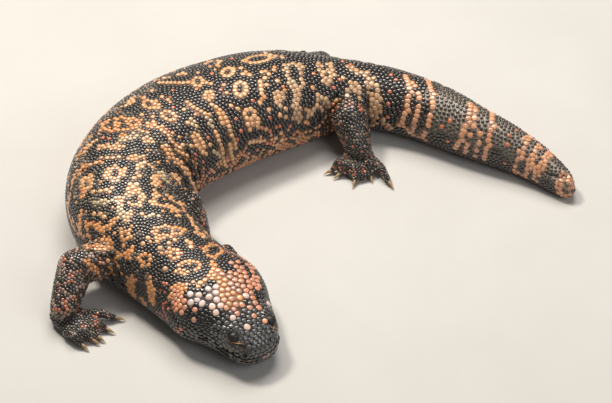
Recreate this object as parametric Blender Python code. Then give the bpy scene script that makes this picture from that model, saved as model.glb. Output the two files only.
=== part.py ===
# A gila monster at life size, lying in a curve with its belly on the ground.
# Metres, +Z up. The spine runs from the snout to the tail tip, and every section is set along it.
import math

import bmesh
import bpy
import numpy as np
from mathutils import Vector

GAP = 0.0003  # kept between pieces that touch

# Driving dimensions
BODY_LENGTH = 0.497
HEAD_LENGTH = 0.060
SNOUT_AT = (-0.0331, -0.1359)
SHOULDER_BACK = 0.104
HIP_BACK = 0.325

# Heading of the spine from head to tail, in degrees, at distances back from the snout
SPINE_BENDS = (
    (0.000, 121), (0.032, 127), (0.063, 138), (0.090, 135), (0.116, 124), (0.143, 101),
    (0.169, 70), (0.196, 50), (0.227, 33), (0.264, 24), (0.301, 12), (0.333, 1),
    (0.365, -21), (0.402, -34), (0.439, -28), (0.471, -41), (0.497, -55),
)

# Sections: distance back, half width, height of the top, of the underside,
# share of the height where it is widest, and how square the upper and lower halves are
SECTIONS = (
    (0.000, 0.0000, 0.0130, 0.0130, 0.50, 2.2, 2.2),
    (0.002, 0.0084, 0.0196, 0.0066, 0.47, 2.3, 2.3),
    (0.005, 0.0125, 0.0228, 0.0048, 0.45, 2.4, 2.4),
    (0.011, 0.0156, 0.0262, 0.0036, 0.43, 2.5, 2.5),
    (0.019, 0.0188, 0.0298, 0.0030, 0.42, 2.6, 2.6),
    (0.029, 0.0230, 0.0332, 0.0025, 0.42, 2.6, 2.7),
    (0.039, 0.0280, 0.0358, 0.0020, 0.41, 2.5, 2.7),
    (0.049, 0.0308, 0.0372, 0.0014, 0.40, 2.4, 2.6),
    (0.056, 0.0306, 0.0376, 0.0008, 0.40, 2.3, 2.5),
    (0.063, 0.0298, 0.0378, 0.0002, 0.40, 2.2, 2.4),
    (0.074, 0.0294, 0.0390, -0.0004, 0.40, 2.2, 2.4),
    (0.090, 0.0302, 0.0428, -0.0010, 0.40, 2.2, 2.4),
    (0.111, 0.0333, 0.0470, -0.0014, 0.40, 2.2, 2.5),
    (0.137, 0.0372, 0.0510, -0.0014, 0.40, 2.2, 2.5),
    (0.174, 0.0392, 0.0540, -0.0014, 0.39, 2.2, 2.5),
    (0.217, 0.0406, 0.0550, -0.0014, 0.39, 2.2, 2.5),
    (0.259, 0.0382, 0.0540, -0.0014, 0.39, 2.2, 2.5),
    (0.291, 0.0342, 0.0500, -0.0014, 0.40, 2.2, 2.5),
    (0.317, 0.0262, 0.0440, -0.0012, 0.42, 2.2, 2.4),
    (0.344, 0.0212, 0.0398, -0.0010, 0.45, 2.1, 2.3),
    (0.365, 0.0202, 0.0378, -0.0008, 0.47, 2.0, 2.2),
    (0.397, 0.0182, 0.0366, -0.0008, 0.47, 2.0, 2.2),
    (0.428, 0.0148, 0.0330, -0.0008, 0.47, 2.0, 2.2),
    (0.460, 0.0114, 0.0258, -0.0006, 0.47, 2.0, 2.2),
    (0.481, 0.0084, 0.0192, -0.0004, 0.47, 2.0, 2.2),
    (0.491, 0.0058, 0.0138, 0.0000, 0.48, 2.0, 2.1),
    (0.497, 0.0000, 0.0062, 0.0062, 0.50, 2.0, 2.0),
)

# Beads of the skin, coarser than the real ones: their spacing, how far they stand out
# and how deep the grooves round them lie
BEAD_RISE = 0.0009
GROOVE = 0.0003
BELLY_SHARE = 0.30  # girth on the belly counts this much when the columns are shared out
BARE_BELOW = 0.006  # no bead stands out nearer the ground than this
# Beads lie flat where the lattice is crowded to the first share of its spacing, and
# stand full from the second
ROW_ROOM = (0.31, 0.94)
COLUMN_ROOM = (0.15, 0.60)

# Lengths of the body: name, where it starts and ends behind the snout, bead spacing
BODY_PARTS = (
    ("neck", 0.060, 0.087, 0.0078),
    ("chest", 0.087, 0.165, 0.0092),
    ("belly", 0.165, 0.245, 0.0094),
    ("loin", 0.245, 0.342, 0.0097),
    ("tail_base", 0.342, 0.396, 0.0084),
    ("tail_middle", 0.396, 0.450, 0.0080),
)
HEAD_BEADS = 0.0071
TAIL_TIP_BEADS = 0.0074
LIMB_BEADS = 0.0076
PALM_BEADS = 0.0061

# Head: places are (back from the snout, out to the side, up)
EYE_AT = (0.0142, 0.0119, 0.0230)
EYE_RADIUS = 0.0029
EYE_OUT = (-0.18, 0.90, 0.40)  # the way an eye looks: back, side, up
LID_RADIUS = 0.0034
LID_THICK = 0.0010
LID_FORWARD = 0.35  # the ring of the lids lies this share of the eye's radius in front of its middle
NOSTRIL_AT = (0.0042, 0.0102, 0.0165)
NOSTRIL_RADIUS = 0.0011
NOSTRIL_DEEP = 0.0020
NOSTRIL_OUT = (-0.5, 0.8, 0.25)
EAR_AT = (0.0520, 0.0300, 0.0170)
EAR_SIZE = (0.0022, 0.0011, 0.0036)  # half its depth, width and height
# The line of the mouth and the back of the jaw, seen from the side: back, up
MOUTH_LINE = (
    (-0.002, 0.0114), (0.004, 0.0110), (0.012, 0.0120), (0.020, 0.0136),
    (0.027, 0.0154), (0.033, 0.0162), (0.041, 0.0120), (0.047, 0.0050), (0.050, -0.002),
)
HEAD_REACH = 0.036  # the head is narrower than this to each side
LIP_GAP = 0.0005
LIP_ENDS = 0.0345  # the roll of the lips runs back to here
LIP_HALF = (0.0011, 0.0026)  # how far it stands out, and half its height
LIP_STEP = 0.0086
LIP_STATIONS = 9

# Legs: joints are (out to the side, forward, up) from the spine at the shoulder or hip.
# Toes are (heading, length): heading is turned outwards from straight ahead, in degrees.
LEGS = {
    "front_right": dict(
        at=SHOULDER_BACK, side=-1, root=(0.0160, -0.0050, 0.0240), knee=(0.0470, -0.0135, 0.0235),
        ankle=(0.0648, -0.0008, 0.0125), knuckles=(0.0622, 0.0103, 0.0042), size=0.95,
        toes=((-46, 0.0185), (-28, 0.0165), (-17, 0.0145), (-20, 0.0145), (-11, 0.0135)),
    ),
    "front_left": dict(
        at=SHOULDER_BACK, side=1, root=(0.0150, -0.0110, 0.0240), knee=(0.0330, -0.0115, 0.0235),
        ankle=(0.0290, 0.0050, 0.0125), knuckles=(0.0295, 0.0175, 0.0042), size=0.95,
        toes=((14, 0.0115), (15, 0.0135), (18, 0.0140), (23, 0.0135), (32, 0.0115)),
    ),
    "hind_left": dict(
        at=HIP_BACK, side=1, root=(0.0080, -0.0040, 0.0230), knee=(0.0270, -0.0050, 0.0230),
        ankle=(0.0425, -0.0100, 0.0120), knuckles=(0.0510, -0.0105, 0.0042), size=1.0,
        toes=((20, 0.0096), (34, 0.0105), (69, 0.0122), (98, 0.0088), (115, 0.0190)),
    ),
    "hind_right": dict(
        at=HIP_BACK, side=-1, root=(0.0100, 0.0060, 0.0200), knee=(0.0258, 0.0268, 0.0172),
        ankle=(0.0392, 0.0090, 0.0120), knuckles=(0.0424, 0.0200, 0.0042), size=1.0,
        toes=((-36, 0.0140), (-18, 0.0160), (0, 0.0165), (19, 0.0150), (42, 0.0115)),
    ),
}
# Radii at full size, from the upper end to the lower: of the thigh, the shank and the toes
UPPER_RADII = (0.0122, 0.0120, 0.0112)
UPPER_SWELL = 1.04  # a thigh or upper arm is this much higher than wide
LOWER_RADII = (0.0110, 0.0104, 0.0086)
PALM_HALF = (0.0098, 0.0058)  # half width and half height at the wrist
KNUCKLE_HALF = (0.0112, 0.0046)
PALM_SIDES = 12
SOLE_SINK = 0.93  # the palm's middle stands this share of its half height up, so the sole is flat
TOE_RADII = (0.0032, 0.0029, 0.0021)
TOE_ARCH = 0.0020
TOE_STRETCHED = 0.0180  # a toe shorter than this in plan is bent up by the difference
TOE_BEND = 0.30
TOE_SPREAD = 0.0185  # across the roots of the outer toes
TOE_SETBACK = 0.0012  # each toe's root lies this much further back than its inner neighbour's
TOE_STEP = 0.0070  # length of two rows of a toe's faces
CLAW_LENGTH = 0.0062
CLAW_RADIUS = 0.0014
CLAW_TAPER = (1.0, 0.95, 0.62, 0.12)
CLAW_HUMP = 0.0004  # how far a claw rises above its root before it curves down
CLAW_POINT_UP = 0.0006
CLAW_STEP = 0.0040

LEG_REACH = 0.06  # a leg touches nothing of the body further along the spine than this
SECTION_STEPS = 240
SHARP_ANGLE = math.radians(50)


def curve_slopes(xs, ys):
    """Slopes of a smooth curve through the points that never swings past them."""
    steps = np.diff(xs)
    rates = np.diff(ys) / steps
    slopes = np.zeros(len(xs))
    slopes[0], slopes[-1] = rates[0], rates[-1]
    for i in range(1, len(xs) - 1):
        if rates[i - 1] * rates[i] > 0:
            before, after = 2 * steps[i] + steps[i - 1], steps[i] + 2 * steps[i - 1]
            slopes[i] = (before + after) / (before / rates[i - 1] + after / rates[i])
    return slopes


SECTION_TABLE = np.array(SECTIONS)
SECTION_SLOPES = [curve_slopes(SECTION_TABLE[:, 0], SECTION_TABLE[:, k]) for k in range(1, 7)]


def section_sizes(back):
    """The six sizes of the section this far behind the snout."""
    xs = SECTION_TABLE[:, 0]
    i = int(np.clip(np.searchsorted(xs, back) - 1, 0, len(xs) - 2))
    step = xs[i + 1] - xs[i]
    t = float(np.clip((back - xs[i]) / step, 0, 1))
    sizes = []
    for k, slopes in enumerate(SECTION_SLOPES, start=1):
        low, high = SECTION_TABLE[i, k], SECTION_TABLE[i + 1, k]
        sizes.append(
            low * (1 + 2 * t) * (1 - t) ** 2
            + slopes[i] * step * t * (1 - t) ** 2
            + high * t * t * (3 - 2 * t)
            + slopes[i + 1] * step * t * t * (t - 1)
        )
    return sizes


def spine_heading(back):
    distances, headings = zip(*SPINE_BENDS)
    return math.radians(float(np.interp(back, distances, headings)))


def spine_points():
    """The spine's plan, a point every millimetre."""
    step = 0.001
    count = round(BODY_LENGTH / step)
    points = [np.array(SNOUT_AT)]
    for i in range(count):
        heading = spine_heading((i + 0.5) * step)
        points.append(points[-1] + step * np.array([math.cos(heading), math.sin(heading)]))
    return np.arange(count + 1) * step, np.array(points)


SPINE_BACK, SPINE_PLAN = spine_points()


def spine_at(back):
    """Plan position of the spine, and the unit vectors to the animal's left and forward."""
    place = np.array([np.interp(back, SPINE_BACK, SPINE_PLAN[:, k]) for k in (0, 1)])
    heading = spine_heading(back)
    left = np.array([math.sin(heading), -math.cos(heading)])
    forward = -np.array([math.cos(heading), math.sin(heading)])
    return place, left, forward


def body_place(back, out, forward, up):
    """A point given from the spine at this distance back: out to the left, forward and up."""
    place, left_way, forward_way = spine_at(back)
    plan = place + out * left_way + forward * forward_way
    return np.array([plan[0], plan[1], up])


def rounded(angle, squareness):
    across, up = np.cos(angle), np.sin(angle)
    power = 2 / squareness
    return np.sign(across) * np.abs(across) ** power, np.sign(up) * np.abs(up) ** power


def body_ring(back, shares):
    """Points round the section, at shares of its girth from the middle of the belly."""
    half, top, low, widest, upper, lower = section_sizes(back)
    angle = -math.pi / 2 + 2 * math.pi * np.arange(SECTION_STEPS + 1) / SECTION_STEPS
    middle = low + widest * (top - low)
    across_up, up = rounded(angle, upper)
    across_low, down = rounded(angle, lower)
    above = np.sin(angle) >= 0
    across = half * np.where(above, across_up, across_low)
    height = middle + np.where(above, up * (top - middle), down * (middle - low))
    height = np.maximum(height, 0)
    lengths = np.hypot(np.diff(across), np.diff(height))
    under = (np.sin(angle[1:]) < 0) & (height[1:] < BARE_BELOW)
    girth = np.concatenate([[0], np.cumsum(lengths * np.where(under, BELLY_SHARE, 1))])
    want = (np.asarray(shares) % 1.0) * girth[-1]
    across, height = np.interp(want, girth, across), np.interp(want, girth, height)
    place, left, _ = spine_at(back)
    return np.column_stack([place + across[:, None] * left, height])


def body_row(back, shares, first, last):
    """A row of surface points with their outward normals."""
    reach, turn = 0.0006, 0.004
    points = body_ring(back, shares)
    ahead = body_ring(max(back - reach, first), shares)
    behind = body_ring(min(back + reach, last), shares)
    round_way = body_ring(back, shares + turn) - body_ring(back, shares - turn)
    normals = np.cross(behind - ahead, round_way)
    normals /= np.maximum(np.linalg.norm(normals, axis=1), 1e-9)[:, None]
    middle = points.mean(axis=0)
    inward = ((points - middle) * normals).sum(axis=1) < 0
    normals[inward] *= -1
    return points, normals


def share_between(values, limits):
    return np.clip((values - limits[0]) / (limits[1] - limits[0]), 0, 1)


def raise_beads(rows, rises, spacing, lift):
    """Pushes each row's points out: every third point of the lattice is the crown of a bead."""
    for i, (points, normals) in enumerate(rows):
        behind, ahead = rows[max(i - 1, 0)][0], rows[min(i + 1, len(rows) - 1)][0]
        row_room = np.linalg.norm(ahead - behind, axis=1) / spacing
        column_room = np.linalg.norm(np.roll(points, -1, axis=0) - points, axis=1) * math.sqrt(3) / spacing
        columns = np.arange(len(points))
        crown = (columns - (i - i % 2) // 2 - i) % 3 == 0
        clear_of_ground = np.clip((points[:, 2] - BARE_BELOW / 2) / BARE_BELOW, 0, 1)
        uncrowded = share_between(row_room, ROW_ROOM) * share_between(column_room, COLUMN_ROOM)
        out = np.where(crown, BEAD_RISE, -GROOVE) * clear_of_ground * uncrowded * rises[i] + lift
        raised = points + normals * out[:, None]
        raised[:, 2] = np.maximum(raised[:, 2], 0 if lift == 0 else -lift)
        yield raised


def mesh_object(name, corners, faces, collection):
    mesh = bpy.data.meshes.new(name)
    mesh.from_pydata([tuple(c) for c in corners], [], faces)
    shape = bmesh.new()
    shape.from_mesh(mesh)
    bmesh.ops.recalc_face_normals(shape, faces=shape.faces)
    shape.to_mesh(mesh)
    shape.free()
    made = bpy.data.objects.new(name, mesh)
    collection.objects.link(made)
    return made


def loft(name, rows, start, end, collection):
    """Closes staggered rows into a skin of triangles, with a point at each end."""
    count = len(rows[0])
    corners = [start, end]
    for row in rows:
        corners.extend(row)

    def corner(i, j):
        return 2 + i * count + j % count

    faces = []
    for j in range(count):
        faces.append((0, corner(0, j), corner(0, j + 1)))
        faces.append((1, corner(len(rows) - 1, j + 1), corner(len(rows) - 1, j)))
    for i in range(len(rows) - 1):
        for j in range(count):
            here, beside = corner(i, j), corner(i, j + 1)
            below, below_beside = corner(i + 1, j), corner(i + 1, j + 1)
            if i % 2 == 0:
                faces += [(here, beside, below), (beside, below_beside, below)]
            else:
                faces += [(here, beside, below_beside), (here, below_beside, below)]
    return mesh_object(name, corners, faces, collection)


def column_count(girth, spacing):
    return max(9, 3 * round(girth * math.sqrt(3) / spacing / 3))


def weighted_girth(back):
    shares = np.linspace(0, 1, 121)
    ring = body_ring(back, shares)
    lengths = np.linalg.norm(np.diff(ring, axis=0), axis=1)
    under = ring[1:, 2] < BARE_BELOW / 4
    return float((lengths * np.where(under, BELLY_SHARE, 1)).sum())


def lattice_rows(backs, spacing, lift, plain_ends):
    count = column_count(max(weighted_girth(b) for b in backs), spacing)
    rows = []
    for i, back in enumerate(backs):
        shares = (np.arange(count) + 0.5 * (i % 2)) / count
        rows.append(body_row(back, shares, backs[0], backs[-1]))
    rises = np.ones(len(backs))
    rises[list(plain_ends)] = 0
    return list(raise_beads(rows, rises, spacing, lift))


def end_middle(row):
    middle = np.mean(row, axis=0)
    return np.array([middle[0], middle[1], (row[:, 2].max() + row[:, 2].min()) / 2])


def body_length(name, start, end, spacing, collection, lift=0.0):
    """A length of the body between two upright planes across the spine."""
    ease = GAP / 2 - lift
    backs = np.linspace(start + ease, end - ease, max(3, round((end - start) / (spacing / 2)) + 1))
    rows = lattice_rows(backs, spacing, lift, (0, -1))
    return loft(name, rows, end_middle(rows[0]), end_middle(rows[-1]), collection)


def head_block(name, collection, lift=0.0):
    """The whole head, snout to nape, before the mouth and sockets are cut."""
    count = round(HEAD_LENGTH / (HEAD_BEADS / 2)) + 3
    end = HEAD_LENGTH - GAP / 2
    backs = end * (np.arange(1, count + 1) / count) ** 1.3
    rows = lattice_rows(backs, HEAD_BEADS, lift, (0, -1))
    tip = body_place(0, 0, 0, section_sizes(0)[1])
    return loft(name, rows, tip, end_middle(rows[-1]), collection)


def tail_tip(name, collection, lift=0.0):
    start = BODY_PARTS[-1][2] + GAP / 2 - lift
    span = BODY_LENGTH - start
    count = round(span / (TAIL_TIP_BEADS / 2))
    backs = start + span * (1 - (1 - np.arange(count) / count) ** 1.3)
    rows = lattice_rows(backs, TAIL_TIP_BEADS, lift, (0, -1))
    tip = body_place(BODY_LENGTH, 0, 0, section_sizes(BODY_LENGTH)[1])
    return loft(name, rows, end_middle(rows[0]), tip, collection)


def sweep(name, path, halves, sides, spacing, collection, lift=0.0, beads=True, round_ends=(True, True)):
    """A limb along a path of points, with half widths and half heights at each of them."""
    path = np.array(path, float)
    halves = np.array(halves, float)
    lengths = np.concatenate([[0], np.cumsum(np.linalg.norm(np.diff(path, axis=0), axis=1))])
    first, last = halves[0].mean(), halves[-1].mean()
    begin = -first if round_ends[0] else 0.0
    finish = lengths[-1] + (last if round_ends[1] else 0.0)
    count = max(4, round((finish - begin) / (spacing / 2)))
    turns = (np.arange(count) + 0.5) / count
    if not round_ends[0]:
        turns = np.linspace(0, 1 - 0.5 / count, count)
    if not round_ends[1]:
        turns = np.linspace(0.5 / count, 1, count)
    along = begin + turns * (finish - begin)
    ways = np.gradient(path, axis=0)
    rows = []
    for i, distance in enumerate(along):
        inside = float(np.clip(distance, 0, lengths[-1]))
        way = np.array([np.interp(inside, lengths, ways[:, k]) for k in range(3)])
        way /= np.linalg.norm(way)
        middle = np.array([np.interp(inside, lengths, path[:, k]) for k in range(3)])
        middle = middle + way * (distance - inside)
        half = np.array([np.interp(inside, lengths, halves[:, k]) for k in (0, 1)])
        past = abs(distance - inside) / (first if distance < 0 else last)
        half = half * math.sqrt(max(1 - past * past, 0))
        across = np.cross(way, (0, 0, 1))
        across /= np.linalg.norm(across)
        upward = np.cross(across, way)
        angle = 2 * math.pi * (np.arange(sides) + 0.5 * (i % 2)) / sides
        spokes = np.cos(angle)[:, None] * across * half[0] + np.sin(angle)[:, None] * upward * half[1]
        normals = spokes / np.maximum(np.linalg.norm(spokes, axis=1), 1e-9)[:, None]
        if past > 0:
            normals = normals + way * math.copysign(past, distance)
            normals /= np.linalg.norm(normals, axis=1)[:, None]
        rows.append((middle + spokes, normals))
    rises = np.ones(len(rows)) if beads else np.zeros(len(rows))
    rises[0] = rises[-1] = 0
    rows = list(raise_beads(rows, rises, spacing, lift))
    start = path[0] + (begin - lift) * ways[0] / np.linalg.norm(ways[0])
    end = path[-1] + (finish - lengths[-1] + lift) * ways[-1] / np.linalg.norm(ways[-1])
    start[2], end[2] = max(start[2], 0), max(end[2], 0)
    return loft(name, rows, start, end, collection)


def apply_boolean(made, operation, others, solver="EXACT"):
    """Cuts or joins with a collection of closed meshes, applies it and removes them."""
    holder = bpy.data.collections.new("tools_for_" + made.name)
    for other in others:
        for owner in list(other.users_collection):
            owner.objects.unlink(other)
        holder.objects.link(other)
    bpy.context.scene.collection.children.link(holder)
    step = made.modifiers.new(operation.title(), "BOOLEAN")
    step.operation = operation
    step.operand_type = "COLLECTION"
    step.collection = holder
    step.solver = solver
    with bpy.context.temp_override(object=made, active_object=made):
        bpy.ops.object.modifier_apply(modifier=step.name)
    for other in others:
        bpy.data.objects.remove(other)
    bpy.data.collections.remove(holder)


def keep_largest(made):
    """Keeps only the closed surface with the most volume."""
    shape = bmesh.new()
    shape.from_mesh(made.data)
    bmesh.ops.triangulate(shape, faces=shape.faces)
    shape.verts.ensure_lookup_table()
    seen, groups = set(), []
    for vertex in shape.verts:
        if vertex in seen:
            continue
        group, queue = [], [vertex]
        seen.add(vertex)
        while queue:
            here = queue.pop()
            group.append(here)
            for edge in here.link_edges:
                other = edge.other_vert(here)
                if other not in seen:
                    seen.add(other)
                    queue.append(other)
        groups.append(group)

    def volume(group):
        faces = {f for v in group for f in v.link_faces}
        return abs(sum(f.verts[0].co.dot(f.verts[1].co.cross(f.verts[2].co)) for f in faces))

    groups.sort(key=volume, reverse=True)
    for group in groups[1:]:
        bmesh.ops.delete(shape, geom=group, context="VERTS")
    shape.to_mesh(made.data)
    shape.free()


def skin_material(name, colour, roughness):
    material = bpy.data.materials.new(name)
    material.use_nodes = True
    shader = material.node_tree.nodes["Principled BSDF"]
    shader.inputs["Base Color"].default_value = (*colour, 1)
    shader.inputs["Roughness"].default_value = roughness
    shader.inputs["Metallic"].default_value = 0.0
    material.diffuse_color = (*colour, 1)
    return material


def side_prism(name, outline, half_width, collection):
    """A block right across the head, with this outline of (back, up) seen from the side."""
    corners = [body_place(0, out, -back, up) for out in (-half_width, half_width) for back, up in outline]
    count = len(outline)
    faces = [tuple(range(count)), tuple(range(2 * count - 1, count - 1, -1))]
    for i in range(count):
        j = (i + 1) % count
        faces.append((i, i + count, j + count, j))
    return mesh_object(name, corners, faces, collection)


def jaw_block(name, ease, collection):
    """The space below the line of the mouth, grown by ease."""
    line = [(back + (ease if i > 5 else 0), up + ease) for i, (back, up) in enumerate(MOUTH_LINE)]
    outline = [(-0.006, -0.004), (-0.006, line[0][1]), *line, (line[-1][0], -0.004)]
    return side_prism(name, outline, HEAD_REACH, collection)


def ball(name, middle, radius, collection, segments=12, rings=8):
    bpy.ops.mesh.primitive_uv_sphere_add(segments=segments, ring_count=rings, radius=radius, location=middle)
    made = bpy.context.object
    made.name = name
    for owner in list(made.users_collection):
        owner.objects.unlink(made)
    collection.objects.link(made)
    made.data.transform(made.matrix_world)
    made.matrix_world.identity()
    return made


def head_place(side, at):
    back, out, up = at
    return Vector(body_place(0, side * out, -back, up))


def head_way(side, way):
    """A direction given as back, to the side and up, turned into the world."""
    _, left, forward = spine_at(0)
    back, out, up = way
    plan = -back * forward + side * out * left
    return Vector((plan[0], plan[1], up)).normalized()


def eye_lids(name, side, collection):
    """A thick ring of skin round the eye, heavier above than below."""
    turn = head_way(side, EYE_OUT).to_track_quat("Z", "Y")
    middle = head_place(side, EYE_AT) + head_way(side, EYE_OUT) * EYE_RADIUS * LID_FORWARD
    bpy.ops.mesh.primitive_torus_add(
        major_segments=14, minor_segments=6, major_radius=LID_RADIUS, minor_radius=LID_THICK,
        location=middle, rotation=turn.to_euler(),
    )
    made = bpy.context.object
    made.name = name
    for owner in list(made.users_collection):
        owner.objects.unlink(made)
    collection.objects.link(made)
    made.data.transform(made.matrix_world)
    made.matrix_world.identity()
    for vertex in made.data.vertices:
        above = (vertex.co - middle).z / LID_RADIUS
        vertex.co += head_way(side, EYE_OUT) * LID_THICK * 0.5 * above
    return made


def pit(name, middle, sizes, way, collection):
    """A small egg-shaped cutter: sizes run along its way, across it and up."""
    made = ball(name, (0, 0, 0), 1.0, collection, 10, 6)
    turn = way.to_track_quat("X", "Z").to_matrix()
    for vertex in made.data.vertices:
        vertex.co = middle + turn @ Vector([c * s for c, s in zip(vertex.co, sizes)])
    return made


def lip_roll(parts):
    """The low roll of both lips, from one corner of the mouth round the snout to the other."""
    backs = LIP_ENDS * (np.arange(1, LIP_STATIONS + 1) / LIP_STATIONS) ** 1.5
    line_back, line_up = zip(*MOUTH_LINE)
    sides = {1: [], -1: []}
    for back in backs:
        ring = body_ring(back, np.linspace(0, 0.5, 200))
        up = np.interp(back, line_back, line_up)
        place, left, _ = spine_at(back)
        out = float((ring[np.argmin(np.abs(ring[:, 2] - up)), :2] - place) @ left)
        for side in sides:
            sides[side].append(body_place(back, side * out, 0, up))
    tip = body_place(0, 0, 0, line_up[1])
    path = [*reversed(sides[1]), tip, *sides[-1]]
    halves = [LIP_HALF] * len(path)
    return sweep("lips", path, halves, 6, LIP_STEP, parts, beads=False)


def build_head(parts):
    """The skull with its sockets, nostrils and ears, the lower jaw, and the eyes."""
    head = head_block("head", parts)
    lids = [eye_lids("lids", side, parts) for side in (1, -1)]
    apply_boolean(head, "UNION", [*lids, lip_roll(parts)])
    jaw = head_block("jaw", parts)
    apply_boolean(jaw, "UNION", [lip_roll(parts)])
    cuts = [jaw_block("mouth", LIP_GAP, parts)]
    for side in (1, -1):
        cuts.append(ball("socket", head_place(side, EYE_AT), EYE_RADIUS + GAP, parts, 14, 10))
        sizes = (NOSTRIL_DEEP, NOSTRIL_RADIUS, NOSTRIL_RADIUS)
        cuts.append(pit("nostril", head_place(side, NOSTRIL_AT), sizes, head_way(side, NOSTRIL_OUT), parts))
        cuts.append(pit("ear", head_place(side, EAR_AT), EAR_SIZE, head_way(side, (0, 1, 0)), parts))
    apply_boolean(head, "DIFFERENCE", cuts)
    apply_boolean(jaw, "INTERSECT", [jaw_block("mouth", 0.0, parts)])
    for side, word in ((1, "left"), (-1, "right")):
        ball("eye_" + word, head_place(side, EYE_AT), EYE_RADIUS, parts)
    keep_largest(head)
    keep_largest(jaw)


def body_cutters(leg, parts):
    """The body near a leg again, grown by the gap, to trim what lies against it."""
    cutters = [body_length("trim", start, end, spacing, parts, GAP) for _, start, end, spacing in BODY_PARTS
               if start - LEG_REACH < leg["at"] < end + LEG_REACH]
    if leg["at"] < HEAD_LENGTH + LEG_REACH:
        cutters.append(head_block("trim", parts, GAP))
    return cutters


def leg_points(leg):
    return [body_place(leg["at"], leg["side"] * out, forward, up)
            for out, forward, up in (leg["root"], leg["knee"], leg["ankle"], leg["knuckles"])]


def leg_length(name, start, end, radii, size, parts, lift=0.0, swell=1.0):
    """A thigh or shank: tapered, a little oval, and rounded at both ends."""
    middle = (start + end) / 2
    halves = [(r * size, r * size * swell) for r in radii]
    girth = 2 * math.pi * max(radii) * size
    sides = column_count(girth, LIMB_BEADS)
    return sweep(name, (start, middle, end), halves, sides, LIMB_BEADS, parts, lift)


def toe_line(root, way, length, size):
    arch = TOE_ARCH + TOE_BEND * max(TOE_STRETCHED - length / size, 0)
    knuckle = root + way * length * 0.50 + np.array([0, 0, arch * size])
    tip = root + way * length
    tip[2] = TOE_RADII[2] * 0.9
    return root, knuckle, tip


def build_foot(name, leg, parts):
    """The palm and its toes as one piece, and five claws."""
    size = leg["size"]
    _, _, ankle, knuckles = leg_points(leg)
    _, left, forward = spine_at(leg["at"])
    radii = [(r * size, r * size) for r in TOE_RADII]
    wrist = np.array([*ankle[:2], PALM_HALF[1] * size * SOLE_SINK])
    halves = [(w * size, h * size) for w, h in (PALM_HALF, KNUCKLE_HALF)]
    halves.insert(1, np.mean(halves, axis=0))
    foot = sweep(name, (wrist, (wrist + knuckles) / 2, knuckles), halves, PALM_SIDES, PALM_BEADS, parts)
    ahead = knuckles - wrist
    ahead[2] = 0
    ahead /= np.linalg.norm(ahead)
    outward = np.array([-ahead[1], ahead[0], 0]) * leg["side"]
    toes = []
    for k, (heading, length) in enumerate(leg["toes"]):
        turn = math.radians(heading)
        plan = math.cos(turn) * forward + math.sin(turn) * leg["side"] * left
        way = np.array([plan[0], plan[1], 0.0])
        shift = (k - 2) / 4 * TOE_SPREAD * size
        root = knuckles + outward * shift - ahead * abs(k - 2) * TOE_SETBACK
        line = toe_line(root, way, length * size, size)
        toes.append(sweep("toe", line, radii, 6, TOE_STEP, parts, beads=False, round_ends=(True, False)))
        build_claw(f"{name}_claw_{k + 1}", line, size, parts)
    apply_boolean(foot, "UNION", toes)
    keep_largest(foot)
    return foot


def build_claw(name, line, size, parts):
    """A curved, pointed claw that meets the end of its toe."""
    _, knuckle, tip = line
    way = tip - knuckle
    way /= np.linalg.norm(way)
    flat = np.array([way[0], way[1], 0]) / math.hypot(way[0], way[1])
    reach = CLAW_LENGTH * size
    start = tip + way * GAP
    path = [start, start + way * reach * 0.15, start + flat * reach * 0.55, start + flat * reach]
    path[2][2] = start[2] + CLAW_HUMP
    path[3][2] = CLAW_POINT_UP
    halves = [(CLAW_RADIUS * size * share, CLAW_RADIUS * size * share * 1.15) for share in CLAW_TAPER]
    return sweep(name, path, halves, 6, CLAW_STEP, parts, beads=False, round_ends=(False, True))


def build_leg(name, leg, parts):
    root, knee, ankle, _ = leg_points(leg)
    size = leg["size"]
    kind, place = name.split("_")
    upper_name = f"{'upper_arm' if kind == 'front' else 'thigh'}_{place}"
    lower_name = f"{'forearm' if kind == 'front' else 'shank'}_{place}"
    foot_name = f"{'hand' if kind == 'front' else 'foot'}_{place}"
    upper = leg_length(upper_name, root, knee, UPPER_RADII, size, parts, swell=UPPER_SWELL)
    apply_boolean(upper, "DIFFERENCE", body_cutters(leg, parts))
    keep_largest(upper)
    lower = leg_length(lower_name, knee, ankle, LOWER_RADII, size, parts)
    tools = body_cutters(leg, parts)
    tools.append(leg_length("trim", root, knee, UPPER_RADII, size, parts, GAP, UPPER_SWELL))
    apply_boolean(lower, "DIFFERENCE", tools)
    keep_largest(lower)
    foot = build_foot(foot_name, leg, parts)
    tools = body_cutters(leg, parts)
    tools.append(leg_length("trim", knee, ankle, LOWER_RADII, size, parts, GAP))
    tools.append(leg_length("trim", root, knee, UPPER_RADII, size, parts, GAP, UPPER_SWELL))
    apply_boolean(foot, "DIFFERENCE", tools)
    keep_largest(foot)


def paint(parts):
    dark = skin_material("beaded_skin", (0.055, 0.045, 0.042), 0.55)
    eye = skin_material("eye", (0.010, 0.008, 0.007), 0.12)
    claw = skin_material("claw", (0.48, 0.36, 0.20), 0.40)
    for made in parts.objects:
        chosen = eye if made.name.startswith("eye") else claw if "claw" in made.name else dark
        made.data.materials.clear()
        made.data.materials.append(chosen)
        made.data.shade_smooth()
        made.data.set_sharp_from_angle(angle=SHARP_ANGLE)


def main():
    for old in list(bpy.data.objects):
        bpy.data.objects.remove(old)
    parts = bpy.data.collections.new("gila_monster")
    bpy.context.scene.collection.children.link(parts)
    build_head(parts)
    for name, start, end, spacing in BODY_PARTS:
        body_length(name, start, end, spacing, parts)
    tail_tip("tail_tip", parts)
    for name, leg in LEGS.items():
        build_leg(name, leg, parts)
    paint(parts)


main()
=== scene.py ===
# A gila monster at life size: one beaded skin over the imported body, with wet eyes and horn claws.
# Metres, in the frame's own axes. "back" is the distance from the snout along the spine, and
# "share" runs from the middle of the back (0) round the left (1) or right (-1) side to the belly.
import math

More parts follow.
